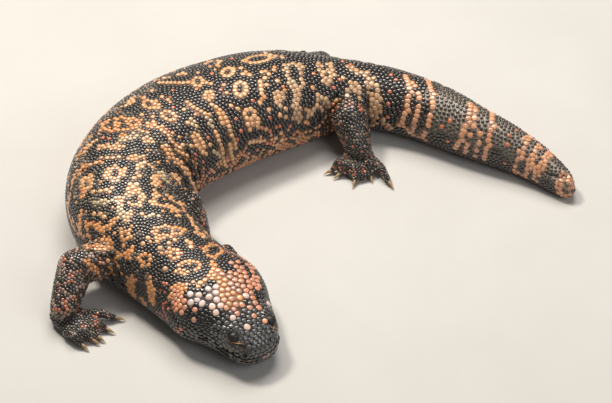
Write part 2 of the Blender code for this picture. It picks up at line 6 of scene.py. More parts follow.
import bmesh
import bpy
import numpy as np
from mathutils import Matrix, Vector, noise
from mathutils.bvhtree import BVHTree
from mathutils.kdtree import KDTree


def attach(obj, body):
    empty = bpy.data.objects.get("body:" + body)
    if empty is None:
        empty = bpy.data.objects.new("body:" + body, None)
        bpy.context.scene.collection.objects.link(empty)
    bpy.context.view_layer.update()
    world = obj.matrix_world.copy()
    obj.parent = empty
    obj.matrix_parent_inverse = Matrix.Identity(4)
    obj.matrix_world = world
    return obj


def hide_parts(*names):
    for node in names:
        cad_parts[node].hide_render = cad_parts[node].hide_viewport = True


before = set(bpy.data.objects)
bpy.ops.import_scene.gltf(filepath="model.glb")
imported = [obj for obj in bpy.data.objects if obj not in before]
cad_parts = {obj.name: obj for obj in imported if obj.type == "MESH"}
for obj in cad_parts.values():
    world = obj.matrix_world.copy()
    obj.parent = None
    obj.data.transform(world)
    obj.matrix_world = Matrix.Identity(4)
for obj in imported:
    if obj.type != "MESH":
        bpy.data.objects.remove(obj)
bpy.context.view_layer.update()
luck = np.random.default_rng(7)

# The photograph's view
photo = dict(width=612, height=403, elevation=46.0, distance=1.15, span=0.386, target=(-0.0093, 0.0004, 0.0))

# The body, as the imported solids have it
body = dict(
    length=0.497, snout=(-0.0331, -0.1359), shoulder=0.104, hip=0.325,
    # heading of the spine in degrees, from head to tail, at distances back from the snout
    bends=(
        (0.000, 121), (0.032, 127), (0.063, 138), (0.090, 135), (0.116, 124), (0.143, 101),
        (0.169, 70), (0.196, 50), (0.227, 33), (0.264, 24), (0.301, 12), (0.333, 1),
        (0.365, -21), (0.402, -34), (0.439, -28), (0.471, -41), (0.497, -55),
    ),
    # back, half width, top, underside, where it is widest, squareness above and below
    sections=(
        (0.000, 0.0000, 0.0130, 0.0130, 0.50, 2.2, 2.2),
        (0.002, 0.0084, 0.0196, 0.0066, 0.47, 2.3, 2.3),
        (0.005, 0.0125, 0.0228, 0.0048, 0.45, 2.4, 2.4),
        (0.011, 0.0156, 0.0262, 0.0036, 0.43, 2.5, 2.5),
        (0.019, 0.0188, 0.0298, 0.0030, 0.42, 2.6, 2.6),
        (0.029, 0.0230, 0.0332, 0.0025, 0.42, 2.6, 2.7),
        (0.039, 0.0280, 0.0358, 0.0020, 0.41, 2.5, 2.7),
        (0.049, 0.0308, 0.0372, 0.0014, 0.40, 2.4, 2.6),
        (0.056, 0.0306, 0.0376, 0.0008, 0.40, 2.3, 2.5),
        (0.063, 0.0298, 0.0378, 0.0002, 0.40, 2.2, 2.4),
        (0.074, 0.0294, 0.0390, -0.0004, 0.40, 2.2, 2.4),
        (0.090, 0.0302, 0.0428, -0.0010, 0.40, 2.2, 2.4),
        (0.111, 0.0333, 0.0470, -0.0014, 0.40, 2.2, 2.5),
        (0.137, 0.0372, 0.0510, -0.0014, 0.40, 2.2, 2.5),
        (0.174, 0.0392, 0.0540, -0.0014, 0.39, 2.2, 2.5),
        (0.217, 0.0406, 0.0550, -0.0014, 0.39, 2.2, 2.5),
        (0.259, 0.0382, 0.0540, -0.0014, 0.39, 2.2, 2.5),
        (0.291, 0.0342, 0.0500, -0.0014, 0.40, 2.2, 2.5),
        (0.317, 0.0262, 0.0440, -0.0012, 0.42, 2.2, 2.4),
        (0.344, 0.0212, 0.0398, -0.0010, 0.45, 2.1, 2.3),
        (0.365, 0.0202, 0.0378, -0.0008, 0.47, 2.0, 2.2),
        (0.397, 0.0182, 0.0366, -0.0008, 0.47, 2.0, 2.2),
        (0.428, 0.0148, 0.0330, -0.0008, 0.47, 2.0, 2.2),
        (0.460, 0.0114, 0.0258, -0.0006, 0.47, 2.0, 2.2),
        (0.481, 0.0084, 0.0192, -0.0004, 0.47, 2.0, 2.2),
        (0.491, 0.0058, 0.0138, 0.0000, 0.48, 2.0, 2.1),
        (0.497, 0.0000, 0.0062, 0.0062, 0.50, 2.0, 2.0),
    ),
    sink=0.0003,  # the skin lies this far inside the solids' mean surface
    floor=0.0005,
)
# Legs: joints are (out, forward, up) from the spine; toes are (degrees outwards from ahead, length)
legs = dict(
    frontRight=dict(
        at="shoulder", side=-1, root=(0.0160, -0.0050, 0.0240), knee=(0.0470, -0.0135, 0.0235),
        ankle=(0.0648, -0.0008, 0.0125), knuckles=(0.0622, 0.0103, 0.0042), size=0.95,
        toes=((-46, 0.0185), (-28, 0.0165), (-17, 0.0145), (-20, 0.0145), (-11, 0.0135)),
    ),
    frontLeft=dict(
        at="shoulder", side=1, root=(0.0150, -0.0110, 0.0240), knee=(0.0330, -0.0115, 0.0235),
        ankle=(0.0290, 0.0050, 0.0125), knuckles=(0.0295, 0.0175, 0.0042), size=0.95,
        toes=((14, 0.0115), (15, 0.0135), (18, 0.0140), (23, 0.0135), (32, 0.0115)),
    ),
    hindLeft=dict(
        at="hip", side=1, root=(0.0080, -0.0040, 0.0230), knee=(0.0270, -0.0050, 0.0230),
        ankle=(0.0425, -0.0100, 0.0120), knuckles=(0.0510, -0.0105, 0.0042), size=1.0,
        toes=((20, 0.0096), (34, 0.0105), (69, 0.0122), (98, 0.0088), (115, 0.0190)),
    ),
    hindRight=dict(
        at="hip", side=-1, root=(0.0100, 0.0060, 0.0200), knee=(0.0258, 0.0268, 0.0172),
        ankle=(0.0392, 0.0090, 0.0120), knuckles=(0.0424, 0.0200, 0.0042), size=1.0,
        toes=((-36, 0.0140), (-18, 0.0160), (0, 0.0165), (19, 0.0150), (42, 0.0115)),
    ),
)
limb = dict(
    upper=(0.0122, 0.0120, 0.0112), lower=(0.0110, 0.0104, 0.0086), palm=(0.0098, 0.0058),
    knuckle=(0.0112, 0.0046), sole=0.93, toe=(0.0032, 0.0029, 0.0021), arch=0.0020, bend=0.30,
    stretched=0.0180, spread=0.0185, setback=0.0012, deep=1.04, toeTip=0.9,
    # the toes' length is counted from this far before the palm's end, less a little
    toeLap=0.004, toeLess=0.001,
)
# On the head, "at" is how far back from the snout, out and up
eye = dict(
    at=(0.0142, 0.0119, 0.0230), radius=0.0029, out=(-0.18, 0.90, 0.40),
    swell=0.07, swellPower=6,  # the clear front
    clear=1.07, lidRoom=0.0003,  # what lies over the globe keeps clear of that front
)
nostril = dict(at=(0.0042, 0.0102, 0.0165), radius=0.0011)
ear = dict(at=(0.0520, 0.0300, 0.0170), radius=0.0018, tall=0.0036)
mouth = dict(
    line=(
        (-0.002, 0.0114), (0.004, 0.0110), (0.012, 0.0120), (0.020, 0.0136), (0.027, 0.0154),
        (0.033, 0.0162),
    ),
    end=0.0345, slit=0.0011, lip=0.0006,
)


# A smooth curve through one column of a table, with no swing past its values.
def smoothColumn(table, column, at):
    xs, ys = table[:, 0], table[:, column]
    step = np.diff(xs)
    rate = np.diff(ys) / step
    slope = np.zeros(len(xs))
    slope[0], slope[-1] = rate[0], rate[-1]
    for i in range(1, len(xs) - 1):
        if rate[i - 1] * rate[i] > 0:
            before, after = 2 * step[i] + step[i - 1], step[i] + 2 * step[i - 1]
            slope[i] = (before + after) / (before / rate[i - 1] + after / rate[i])
    i = np.clip(np.searchsorted(xs, at) - 1, 0, len(xs) - 2)
    t = np.clip((at - xs[i]) / step[i], 0, 1)
    return (
        ys[i] * (1 + 2 * t) * (1 - t) ** 2 + slope[i] * step[i] * t * (1 - t) ** 2
        + ys[i + 1] * t * t * (3 - 2 * t) + slope[i + 1] * step[i] * t * t * (t - 1)
    )


stationStep = 0.001
stations = np.arange(round(body["length"] / stationStep) + 1) * stationStep
bendTable = np.radians(np.array(body["bends"], float)[:, 1])
bendBacks = np.array(body["bends"])[:, 0]
middles = np.interp(stations[:-1] + stationStep / 2, bendBacks, bendTable)
spinePlan = np.array(body["snout"]) + stationStep * np.vstack([
    np.zeros(2), np.cumsum(np.column_stack([np.cos(middles), np.sin(middles)]), axis=0)])
sizeTable = np.array(body["sections"])
ringSteps = 96  # points kept round half a section
arcSteps = 240  # and those that it is worked out at


# For every station, the half section from the back to the belly at even shares of its girth.
def makeRings():
    columns = [smoothColumn(sizeTable, k, stations)[:, None] for k in range(1, 7)]
    half, top, low, widest, upper, lower = columns
    half = np.maximum(half - body["sink"], 0)
    top = top - body["sink"]
    low = low + body["sink"]
    angle = (math.pi / 2 - math.pi * np.arange(arcSteps + 1) / arcSteps)[None]
    middle = low + widest * (top - low)
    above = angle >= 0
    power = 2 / np.where(above, upper, lower)
    out = half * np.abs(np.cos(angle)) ** power
    rise = np.abs(np.sin(angle)) ** power
    up = np.where(above, middle + (top - middle) * rise, middle - (middle - low) * rise)
    up = np.maximum(up, body["floor"])
    arc = np.hstack([np.zeros((len(stations), 1)), np.cumsum(np.hypot(np.diff(out), np.diff(up)), axis=1)])
    shares = np.linspace(0, 1, ringSteps + 1)
    outs, ups = np.zeros((2, len(stations), ringSteps + 1))
    for i in range(len(stations)):
        outs[i] = np.interp(shares * arc[i, -1], arc[i], out[i])
        ups[i] = np.interp(shares * arc[i, -1], arc[i], up[i])
    return outs, ups, middle[:, 0]


ringOut, ringUp, ringMiddle = makeRings()


# Places on the spine seen from above, with the ways to its left and ahead.
def spineAt(back):
    place = np.column_stack([np.interp(back, stations, spinePlan[:, k]) for k in (0, 1)])
    heading = np.interp(back, bendBacks, bendTable)
    left = np.column_stack([np.sin(heading), -np.cos(heading)])
    ahead = -np.column_stack([np.cos(heading), np.sin(heading)])
    return place, left, ahead


# Points of the bare body's surface.
def bodyPoint(back, share):
    back, share = np.broadcast_arrays(np.asarray(back, float), np.asarray(share, float))
    row = np.clip(back / stationStep, 0, len(stations) - 1.001)
    column = np.clip(np.abs(share) * ringSteps, 0, ringSteps - 0.001)
    i, j = row.astype(int), column.astype(int)
    u, v = row - i, column - j

    def blend(table):
        return ((table[i, j] * (1 - v) + table[i, j + 1] * v) * (1 - u)
                + (table[i + 1, j] * (1 - v) + table[i + 1, j + 1] * v) * u)

    place, left, _ = spineAt(back)
    plan = place + (blend(ringOut) * np.where(share < 0, -1, 1))[:, None] * left
    return np.column_stack([plan, blend(ringUp)])


# Back and share of points near the body, a few thousand at a time.
def bodyCoordinates(points, batch=4000):
    backs, shares = np.zeros((2, len(points)))
    for start in range(0, len(points), batch):
        part = points[start:start + batch]
        nearest = ((part[:, None, :2] - spinePlan[None]) ** 2).sum(axis=2).argmin(axis=1)
        place, left, ahead = spineAt(stations[nearest])
        away = part[:, :2] - place
        back = np.clip(stations[nearest] - (away * ahead).sum(axis=1), 0, body["length"])
        out = (away * left).sum(axis=1)
        angle = np.arctan2(part[:, 2] - ringMiddle[nearest], np.abs(out))
        table = np.arctan2(ringUp[nearest] - ringMiddle[nearest][:, None], ringOut[nearest])
        j = np.clip((table > angle[:, None]).sum(axis=1) - 1, 0, ringSteps - 1)
        row = np.arange(len(part))
        span = table[row, j] - table[row, j + 1]
        t = np.clip((table[row, j] - angle) / np.maximum(span, 1e-6), 0, 1)
        backs[start:start + batch] = back
        shares[start:start + batch] = (j + t) / ringSteps * np.where(out < 0, -1, 1)
    return backs, shares


# A place measured from the spine: out to the left, forward and up.
def bodyPlace(back, out, forward, up):
    place, left, ahead = spineAt(np.array([back]))
    plan = place[0] + out * left[0] + forward * ahead[0]
    return np.array([plan[0], plan[1], up])


# Where an eye, a nostril or an ear is, on the left (1) or the right (-1).
def headPlace(thing, side):
    along, out, up = thing["at"]
    return bodyPlace(0, side * out, -along, up)


# A way on one side of the head, given as back, out and up.
def headWay(side, way):
    _, left, ahead = spineAt(np.array([0.0]))
    plan = -way[0] * ahead[0] + side * way[1] * left[0]
    return Vector((plan[0], plan[1], way[2])).normalized()


def deselect():
    bpy.ops.object.select_all(action="DESELECT")


def makeObject(name, points, faces):
    mesh = bpy.data.meshes.new(name)
    mesh.from_pydata(np.asarray(points).tolist(), [], faces)
    piece = bpy.data.objects.new(name, mesh)
    bpy.context.scene.collection.objects.link(piece)
    return piece


# Quads of a grid of points, row by row, joined round each row.
def gridFaces(rows, columns, start, closed=True):
    across = columns if closed else columns - 1
    i, j = np.meshgrid(np.arange(rows - 1), np.arange(across), indexing="ij")
    here = start + i * columns + j
    beside = start + i * columns + (j + 1) % columns
    return np.stack([here, here + columns, beside + columns, beside], axis=-1).reshape(-1, 4)


# Gathers closed shapes, to be made one mesh.
class Heap:
    def __init__(self):
        self.points, self.faces, self.count = [], [], 0

    def addRows(self, rows, first, last):
        rows = np.asarray(rows)
        depth, columns = rows.shape[:2]
        start = self.count + 2
        self.points += [np.array([first, last]), rows.reshape(-1, 3)]
        ends = start + (depth - 1) * columns
        for j in range(columns):
            k = (j + 1) % columns
            self.faces += [(self.count, start + j, start + k), (self.count + 1, ends + k, ends + j)]
        self.faces += gridFaces(depth, columns, start).tolist()
        self.count += 2 + depth * columns

    def build(self, name):
        return makeObject(name, np.vstack(self.points), self.faces)


# Oval rings along a path, rounded at the ends, and the points that close both ends.
def tubeRows(path, widths, heights, sides, step=0.0008, roundEnds=(True, True)):
    path = np.array(path, float)
    lengths = np.concatenate([[0], np.cumsum(np.linalg.norm(np.diff(path, axis=0), axis=1))])
    ways = np.gradient(path, axis=0)
    begin = -widths[0] if roundEnds[0] else 0
    finish = lengths[-1] + (widths[-1] if roundEnds[1] else 0)
    count = max(6, round((finish - begin) / step))
    turn = 2 * math.pi * np.arange(sides) / sides
    rows = []
    for distance in begin + (np.arange(count) + 0.5) / count * (finish - begin):
        inside = float(np.clip(distance, 0, lengths[-1]))
        way = np.array([np.interp(inside, lengths, ways[:, k]) for k in range(3)])
        way /= np.linalg.norm(way)
        middle = np.array([np.interp(inside, lengths, path[:, k]) for k in range(3)])
        middle = middle + way * (distance - inside)
        past = (distance - inside) / (widths[0] if distance < 0 else widths[-1])
        share = math.sqrt(max(1 - past * past, 0))
        across = np.cross(way, (0, 0, 1))
        across /= np.linalg.norm(across)
        upward = np.cross(across, way)
        width = np.interp(inside, lengths, widths) * share
        height = np.interp(inside, lengths, heights) * share
        spokes = np.cos(turn)[:, None] * across * width + np.sin(turn)[:, None] * upward * height
        rows.append(middle + spokes)
    first = path[0] + ways[0] / np.linalg.norm(ways[0]) * begin
    last = path[-1] + ways[-1] / np.linalg.norm(ways[-1]) * (finish - lengths[-1])
    return np.array(rows), first, last


# Paths and radii of one leg: thigh, shank, palm and five toes.
def legShapes(leg):
    size, sink = leg["size"], body["sink"]
    at = body[leg["at"]]
    root, knee, ankle, knuckles = [
        bodyPlace(at, leg["side"] * out, forward, up)
        for out, forward, up in (leg["root"], leg["knee"], leg["ankle"], leg["knuckles"])]
    wrist = np.array([ankle[0], ankle[1], limb["palm"][1] * size * limb["sole"]])
    ahead = (knuckles - wrist) * (1, 1, 0)
    ahead /= np.linalg.norm(ahead)
    outward = np.array([-ahead[1], ahead[0], 0]) * leg["side"]
    _, left, forward = [v[0] for v in spineAt(np.array([at]))]

    def radii(values, swell=1.0):
        return [v * size * swell - sink for v in values]

    palmMiddle = [(a + b) / 2 for a, b in zip(limb["palm"], limb["knuckle"])]
    shapes = dict(
        upper=dict(path=[root, (root + knee) / 2, knee], widths=radii(limb["upper"]),
                   heights=radii(limb["upper"], limb["deep"])),
        lower=dict(path=[knee, (knee + ankle) / 2, ankle], widths=radii(limb["lower"]),
                   heights=radii(limb["lower"])),
        palm=dict(path=[wrist, (wrist + knuckles) / 2, knuckles],
                  widths=radii([limb["palm"][0], palmMiddle[0], limb["knuckle"][0]]),
                  heights=radii([limb["palm"][1], palmMiddle[1], limb["knuckle"][1]])),
    )
    for k, (heading, length) in enumerate(leg["toes"]):
        turn = math.radians(heading)
        plan = math.cos(turn) * forward + math.sin(turn) * leg["side"] * left
        way = np.array([plan[0], plan[1], 0])
        start = knuckles + outward * (k - 2) / 4 * limb["spread"] * size
        start = start - ahead * abs(k - 2) * limb["setback"]
        arch = limb["arch"] + limb["bend"] * max(limb["stretched"] - length, 0)
        bent = start + way * length * size * 0.5 + np.array([0, 0, arch * size])
        tip = start + way * length * size
        tip[2] = limb["toe"][2] * limb["toeTip"]
        shapes[f"toe{k + 1}"] = dict(path=[start, bent, tip], widths=radii(limb["toe"]),
                                     heights=radii(limb["toe"]), way=way)
    return shapes


legParts = {name: legShapes(leg) for name, leg in legs.items()}


weave = dict(
    # the body's rings: close ones at the nose and the tail tip, and even ones between
    nose=(0.0004, 0.0009, 0.0015), tail=(0.0016, 0.0008, 0.0003), margin=0.002, step=0.0014,
    around=140, limbSides=28, voxel=0.0014, ease=0.5, rounds=3,
)


# The body, legs and toes as closed shapes, made one skin by a voxel remesh.
def joinedSkin():
    heap = Heap()
    between = np.arange(weave["margin"], body["length"] - weave["margin"], weave["step"])
    rows = np.concatenate([weave["nose"], between, [body["length"] - gap for gap in weave["tail"]]])
    shares = np.linspace(-1, 1, weave["around"] + 1)[:-1]
    surface = bodyPoint(np.repeat(rows, len(shares)), np.tile(shares, len(rows))).reshape(len(rows), -1, 3)
    noseUp, tailUp = body["sections"][0][2], body["sections"][-1][2]
    heap.addRows(surface, bodyPlace(0, 0, 0, noseUp), bodyPlace(body["length"], 0, 0, tailUp))
    for shapes in legParts.values():
        for shape in shapes.values():
            heap.addRows(*tubeRows(shape["path"], shape["widths"], shape["heights"], weave["limbSides"]))
    skin = heap.build("skin")
    deselect()
    skin.select_set(True)
    bpy.context.view_layer.objects.active = skin
    remesh = skin.modifiers.new("join", "REMESH")
    remesh.mode = "VOXEL"
    remesh.voxel_size = weave["voxel"]
    bpy.ops.object.modifier_apply(modifier=remesh.name)
    smooth = skin.modifiers.new("ease", "SMOOTH")
    smooth.factor = weave["ease"]
    smooth.iterations = weave["rounds"]
    bpy.ops.object.modifier_apply(modifier=smooth.name)
    return skin


def meshPoints(mesh):
    points = np.empty(len(mesh.vertices) * 3, np.float32)
    mesh.vertices.foreach_get("co", points)
    return points.reshape(-1, 3).astype(float)


def meshNormals(mesh):
    normals = np.empty(len(mesh.vertices) * 3, np.float32)
    mesh.vertex_normals.foreach_get("vector", normals)
    return normals.reshape(-1, 3).astype(float)


def smoothShade(mesh):
    mesh.polygons.foreach_set("use_smooth", np.ones(len(mesh.polygons), bool))


def setPoints(mesh, points):
    mesh.vertices.foreach_set("co", points.astype(np.float32).ravel())
    mesh.update()


# Splits the faces whose middles are chosen into four.
def refine(mesh, chosen):
    shape = bmesh.new()
    shape.from_mesh(mesh)
    centres = np.array([face.calc_center_median() for face in shape.faces])
    picked = chosen(centres)
    edges = {edge for face, take in zip(shape.faces, picked) if take for edge in face.edges}
    bmesh.ops.subdivide_edges(shape, edges=list(edges), cuts=1, use_grid_fill=True)
    shape.to_mesh(mesh)
    shape.free()


# From 0 to 1 past a start, and from 1 to 0 before it, over a stretch.
def rising(value, start, stretch):
    return np.clip((value - start) / stretch, 0, 1)


def falling(value, start, stretch):
    return np.clip((start - value) / stretch, 0, 1)


# A soft bump or dent's profile: 1 in its middle, fading over its width.
def hump(distance, width):
    return np.exp(-(distance / width) ** 2)


def nearHead(points, thing, reach):
    found = np.zeros(len(points), bool)
    for side in (1, -1):
        found |= np.linalg.norm(points - headPlace(thing, side), axis=1) < reach
    return found


# Back, out and up of points, measured straight along the skull.
def headFrame(points):
    _, left, ahead = spineAt(np.array([0.0]))
    away = points[:, :2] - spinePlan[0]
    return -(away @ ahead[0]), away @ left[0], points[:, 2]


carving = dict(
    # where the skin gets finer faces: round a station of the head, the eyes and the nostrils
    station=20, reach=0.034, eyeReach=0.0065, nostrilReach=0.0035,
    # the mouth: the stretch it fades over, the slit's width, and the lips' width and distance from it
    fade=0.004, slitWide=0.00055, lipWide=0.0011, lipAway=0.0019,
    nostrilDeep=0.0016, nostrilWide=0.0009, nostrilRim=0.0004, rimAway=0.0018, rimWide=0.0007,
    earDeep=0.0026, earWide=0.8,
    socketDeep=0.0018, socketRoom=0.0006, socketEdge=0.001,
    browHigh=0.0010, browAway=0.0044, browWide=0.0016, browLong=0.30,
)


# The line of the mouth with its lips, the sockets, nostrils and ears.
def carveHead(skin):
    cut = carving
    refine(skin.data, lambda c: np.linalg.norm(c[:, :2] - spinePlan[cut["station"]], axis=1) < cut["reach"])
    refine(skin.data, lambda c: nearHead(c, eye, cut["eyeReach"]) | nearHead(c, nostril, cut["nostrilReach"]))
    points, normals = meshPoints(skin.data), meshNormals(skin.data)
    back, out, up = headFrame(points)
    lineBack, lineUp = np.array(mouth["line"]).T
    gap = up - np.interp(back, lineBack, lineUp)
    fade = falling(back, mouth["end"], cut["fade"]) * (back > -cut["fade"])
    lips = mouth["lip"] * hump(np.abs(gap) - cut["lipAway"], cut["lipWide"])
    move = fade * (-mouth["slit"] * hump(gap, cut["slitWide"]) + lips)
    aheadPlan = spineAt(np.array([0.0]))[2][0]
    for side in (1, -1):
        away = np.linalg.norm(points - headPlace(nostril, side), axis=1)
        rim = cut["nostrilRim"] * hump(away - cut["rimAway"], cut["rimWide"])
        move += -cut["nostrilDeep"] * hump(away, cut["nostrilWide"]) + rim
        away = points - headPlace(ear, side)
        away = np.hypot(np.linalg.norm(away[:, :2], axis=1) / ear["radius"], away[:, 2] / ear["tall"])
        move += -cut["earDeep"] * hump(away, cut["earWide"])
        middle = headPlace(eye, side)
        away = np.linalg.norm(points - middle, axis=1)
        socket = falling(away, eye["radius"] + cut["socketRoom"], cut["socketEdge"])
        # the brow's ring is longer along the head than it is high
        ahead = np.abs(((points - middle) @ np.append(aheadPlan, 0)) / np.maximum(away, 0.001))
        brow = hump(away * (1 - cut["browLong"] * ahead) - cut["browAway"], cut["browWide"])
        move += -cut["socketDeep"] * socket + cut["browHigh"] * brow
    setPoints(skin.data, points + normals * move[:, None])


# The camera's place and its ray through a place in the photograph
tilt = math.radians(photo["elevation"])
lookWay = np.array([0, math.cos(tilt), -math.sin(tilt)])
upWay = np.array([0, math.sin(tilt), math.cos(tilt)])
cameraPlace = np.array(photo["target"]) - lookWay * photo["distance"]
# Where a ray that misses looks for the nearest skin
missSteps = np.arange(0.7, 1.4, 0.004) * photo["distance"]


def rayThrough(x, y):
    reach = photo["width"] * photo["distance"] / photo["span"]
    way = lookWay * reach + np.array([1, 0, 0]) * (x - photo["width"] / 2) + upWay * (photo["height"] / 2 - y)
    return Vector(way).normalized()


def treeOf(mesh):
    return BVHTree.FromPolygons([v.co[:] for v in mesh.vertices], [p.vertices[:] for p in mesh.polygons])


# Where the photograph's places fall on the skin; one just off the outline goes to its edge.
def ontoSkin(tree, places):
    found = []
    for x, y in places:
        way = rayThrough(x, y)
        spot = tree.ray_cast(Vector(cameraPlace), way)[0]
        if spot is None:
            near = [tree.find_nearest(Vector(cameraPlace) + way * step) for step in missSteps]
            spot = min(near, key=lambda hit: hit[3])[0]
        found.append(np.array(spot))
    return found


farAway = 9.0


# The distance from points to a line of straight pieces.
def lineDistance(points, line):
    best = np.full(len(points), farAway)
    for a, b in zip(line[:-1], line[1:]):
        span = b - a
        t = np.clip(((points - a) @ span) / max(span @ span, 1e-12), 0, 1)
        best = np.minimum(best, np.linalg.norm(points - a - t[:, None] * span, axis=1))
    return best


# The pale edge of the lower lid and the streak of bare skin below it, as lines in the photograph
lidLines = dict(
    edge=dict(line=((226.6, 338.6), (230, 341.2), (234.5, 343.0), (239.5, 343.9), (244, 344.2)), tone="tan"),
    streak=dict(line=((225.6, 344.4), (229, 347.2), (232.5, 349.8), (236, 353.0)), tone="ash"),
)
# How wide they are, how far they stand out in shares of that, and how they narrow to their ends
lidLine = dict(
    width=0.00038, out=0.7, taper=((0, 0.35), (0.35, 1), (0.65, 1), (1, 0.35)), sides=12, step=0.0002,
)
# Folds of loose skin: the line of each valley in the photograph, with its depth and width
folds = dict(
    groin=dict(line=((341, 101), (331, 108), (327, 119), (331, 130)), depth=0.0017, width=0.0012),
    groinInner=dict(line=((337, 96), (324, 106), (320, 120), (326, 133)), depth=0.0014, width=0.0014),
    thigh=dict(line=((368, 92), (368, 110), (367, 126)), depth=0.0014, width=0.0014),
    flankOuter=dict(line=((160, 148), (173, 164), (186, 184), (191, 196)), depth=0.0015, width=0.0014),
    flank=dict(line=((172, 147), (184, 160), (193, 176), (197, 190)), depth=0.0017, width=0.0013),
    flankInner=dict(line=((186, 150), (195, 164), (200, 182)), depth=0.0015, width=0.0013),
    elbow=dict(line=((187, 193), (187, 206), (193, 218), (203, 229)), depth=0.0015, width=0.0015),
    shoulder=dict(line=((101, 256), (109, 270), (115, 286)), depth=0.0013, width=0.0012),
    shoulderInner=dict(line=((91, 250), (99, 268), (105, 284)), depth=0.0013, width=0.0012),
    shoulderOuter=dict(line=((111, 256), (119, 272), (125, 286)), depth=0.0011, width=0.0012),
    throat=dict(line=((160, 290), (168, 306), (176, 318)), depth=0.0009, width=0.0016),
    cheek=dict(line=((214, 336), (222, 350), (236, 360)), depth=0.0006, width=0.0010),
    brow=dict(line=((214, 329), (224, 333), (236, 336)), depth=0.0006, width=0.0009),
    underEye=dict(line=((226, 339), (234, 342), (244, 346)), depth=-0.0006, width=0.0008),
    cheekRidge=dict(line=((225, 345), (231, 349), (237, 354)), depth=-0.0005, width=0.0008),
)
foldRidge = dict(high=0.35, away=2.2)  # in shares of the fold's depth and width
skinFloor = 0.8  # folded skin keeps this share of the floor's height
leastUp = 0.0001  # and scales and claws this height over the ground


# Presses the folds in, with a ridge on both sides of each.
def foldSkin(skin):
    tree = treeOf(skin.data)
    points, normals = meshPoints(skin.data), meshNormals(skin.data)
    move = np.zeros(len(points))
    for fold in folds.values():
        away = lineDistance(points, ontoSkin(tree, fold["line"]))
        move += -fold["depth"] * hump(away, fold["width"])
        ridgeAway = foldRidge["away"] * fold["width"]
        move += foldRidge["high"] * fold["depth"] * hump(away - ridgeAway, fold["width"])
    points += normals * move[:, None]
    points[:, 2] = np.maximum(points[:, 2], body["floor"] * skinFloor)
    setPoints(skin.data, points)


# The leg nearest to each point (its number, and its part, from 0 for the thigh to 7 for the last toe), how
# far down the leg and round it the point lies, the limb's way there, and how near it is in radii.
def legCoordinates(points):
    best = np.full(len(points), farAway)
    leg, part = np.full((2, len(points)), -1)
    along, turn = np.zeros((2, len(points)))
    ways = np.zeros((len(points), 3))
    for number, shapes in enumerate(legParts.values()):
        before = 0.0
        for k, shape in enumerate(shapes.values()):
            path = np.array(shape["path"])
            run = before if k < 3 else before + limb["toeLess"]
            for a, b, wa, wb in zip(path[:-1], path[1:], shape["widths"][:-1], shape["widths"][1:]):
                span = b - a
                length = np.linalg.norm(span)
                t = np.clip(((points - a) @ span) / length ** 2, 0, 1)
                away = points - a - t[:, None] * span
                near = np.linalg.norm(away, axis=1) / (wa + (wb - wa) * t)
                closer = near < best
                best[closer] = near[closer]
                leg[closer], part[closer] = number, k
                along[closer] = run + t[closer] * length
                across = np.cross(span / length, (0, 0, 1))
                across /= np.linalg.norm(across)
                up = np.cross(across, span / length)
                turn[closer] = np.arctan2(away[closer] @ up, away[closer] @ across)
                ways[closer] = span / length
                run += length
            if k < 2:
                before = run
            elif k == 2:
                before = run - limb["toeLap"]
    return leg, part, along, turn, ways, best


coat = dict(
    # spacing of the scales over the body, at distances back from the snout
    spacing=((0.050, 0.0024), (0.062, 0.0021), (0.110, 0.0021), (0.165, 0.0023), (0.220, 0.0025),
             (0.290, 0.0027), (0.350, 0.0030), (0.420, 0.0030), (0.497, 0.0023)),
    # and where other sizes grow: the belly's are broader than the back's as belly is to backSize
    belly=0.0036, backSize=0.0027, crown=0.0027, muzzle=0.0032, lip=0.0032, cheek=0.0022, chin=0.0026,
    leg=0.0020, hand=0.0018, toe=0.0016, sole=0.0018, thigh=0.0026, paleCrown=0.0033,
    # distances from the openings of the head, and the largest scale that grows there
    roundEye=((0.0036, 0.0011), (0.0050, 0.0016), (0.0075, 0.003)),
    roundNostril=((0.0016, 0.0013), (0.0045, 0.003)), roundEar=((0.0025, 0.0014), (0.006, 0.003)),
    # distances over and under the mouth, and down the thigh, at which the size changes
    upFromLip=(0.002, 0.009, 0.014), downFromLip=(0.002, 0.006), downThigh=(0.008, 0.030),
    # pale scales are broader than dark ones
    broad=1.12, narrow=0.94, broadFrom=0.05,
    # height of a scale, for each metre of its spacing
    rise=0.33, crownRise=0.28, muzzleRise=0.15, lipRise=0.09, bellyRise=0.10, paleRise=0.88,
    # how far bare skin reaches from the mouth, the eyes, the nostrils, the ears and the lines under the eyes
    bareLip=0.0006, bareEye=0.0007, bareNostril=0.0003, bareEar=0.0021, bareLine=0.28,
    # a scale takes the places nearer to it than this share of both spacings, out of those it looks at
    pack=0.47, look=1.15,
    sunk=0.0004, corners=8,
    # how full of scale its room is: ordinary, on the tail's grey, pale, and more where pale ones merge
    fill=1.01, greyFill=0.82, smokeFill=0.88, paleFill=1.02, mergedFill=0.06, mergedRise=0.66,
    mergedNeck=(0.050, 0.150), mergedLoin=0.250,
)
# Where kinds of scales begin, and the stretch they fade in over. The belly's are shares, the rest metres
regions = dict(
    head=(0.058, 0.010), belly=(0.74, 0.12), bellyFrom=0.06, muzzle=(0.024, 0.006), overLip=(0.004, 0.002),
    crownHeight=(0.045, 0.06), muzzleHeight=(0.022, 0.010), lipHeight=(0.0034, 0.001), lipPast=0.002,
    bellyHeight=(0.74, 0.1), headHeight=0.05, underside=(0.55, 0.3), sole=-0.5, skullEnd=0.052, crownUp=0.006,
)


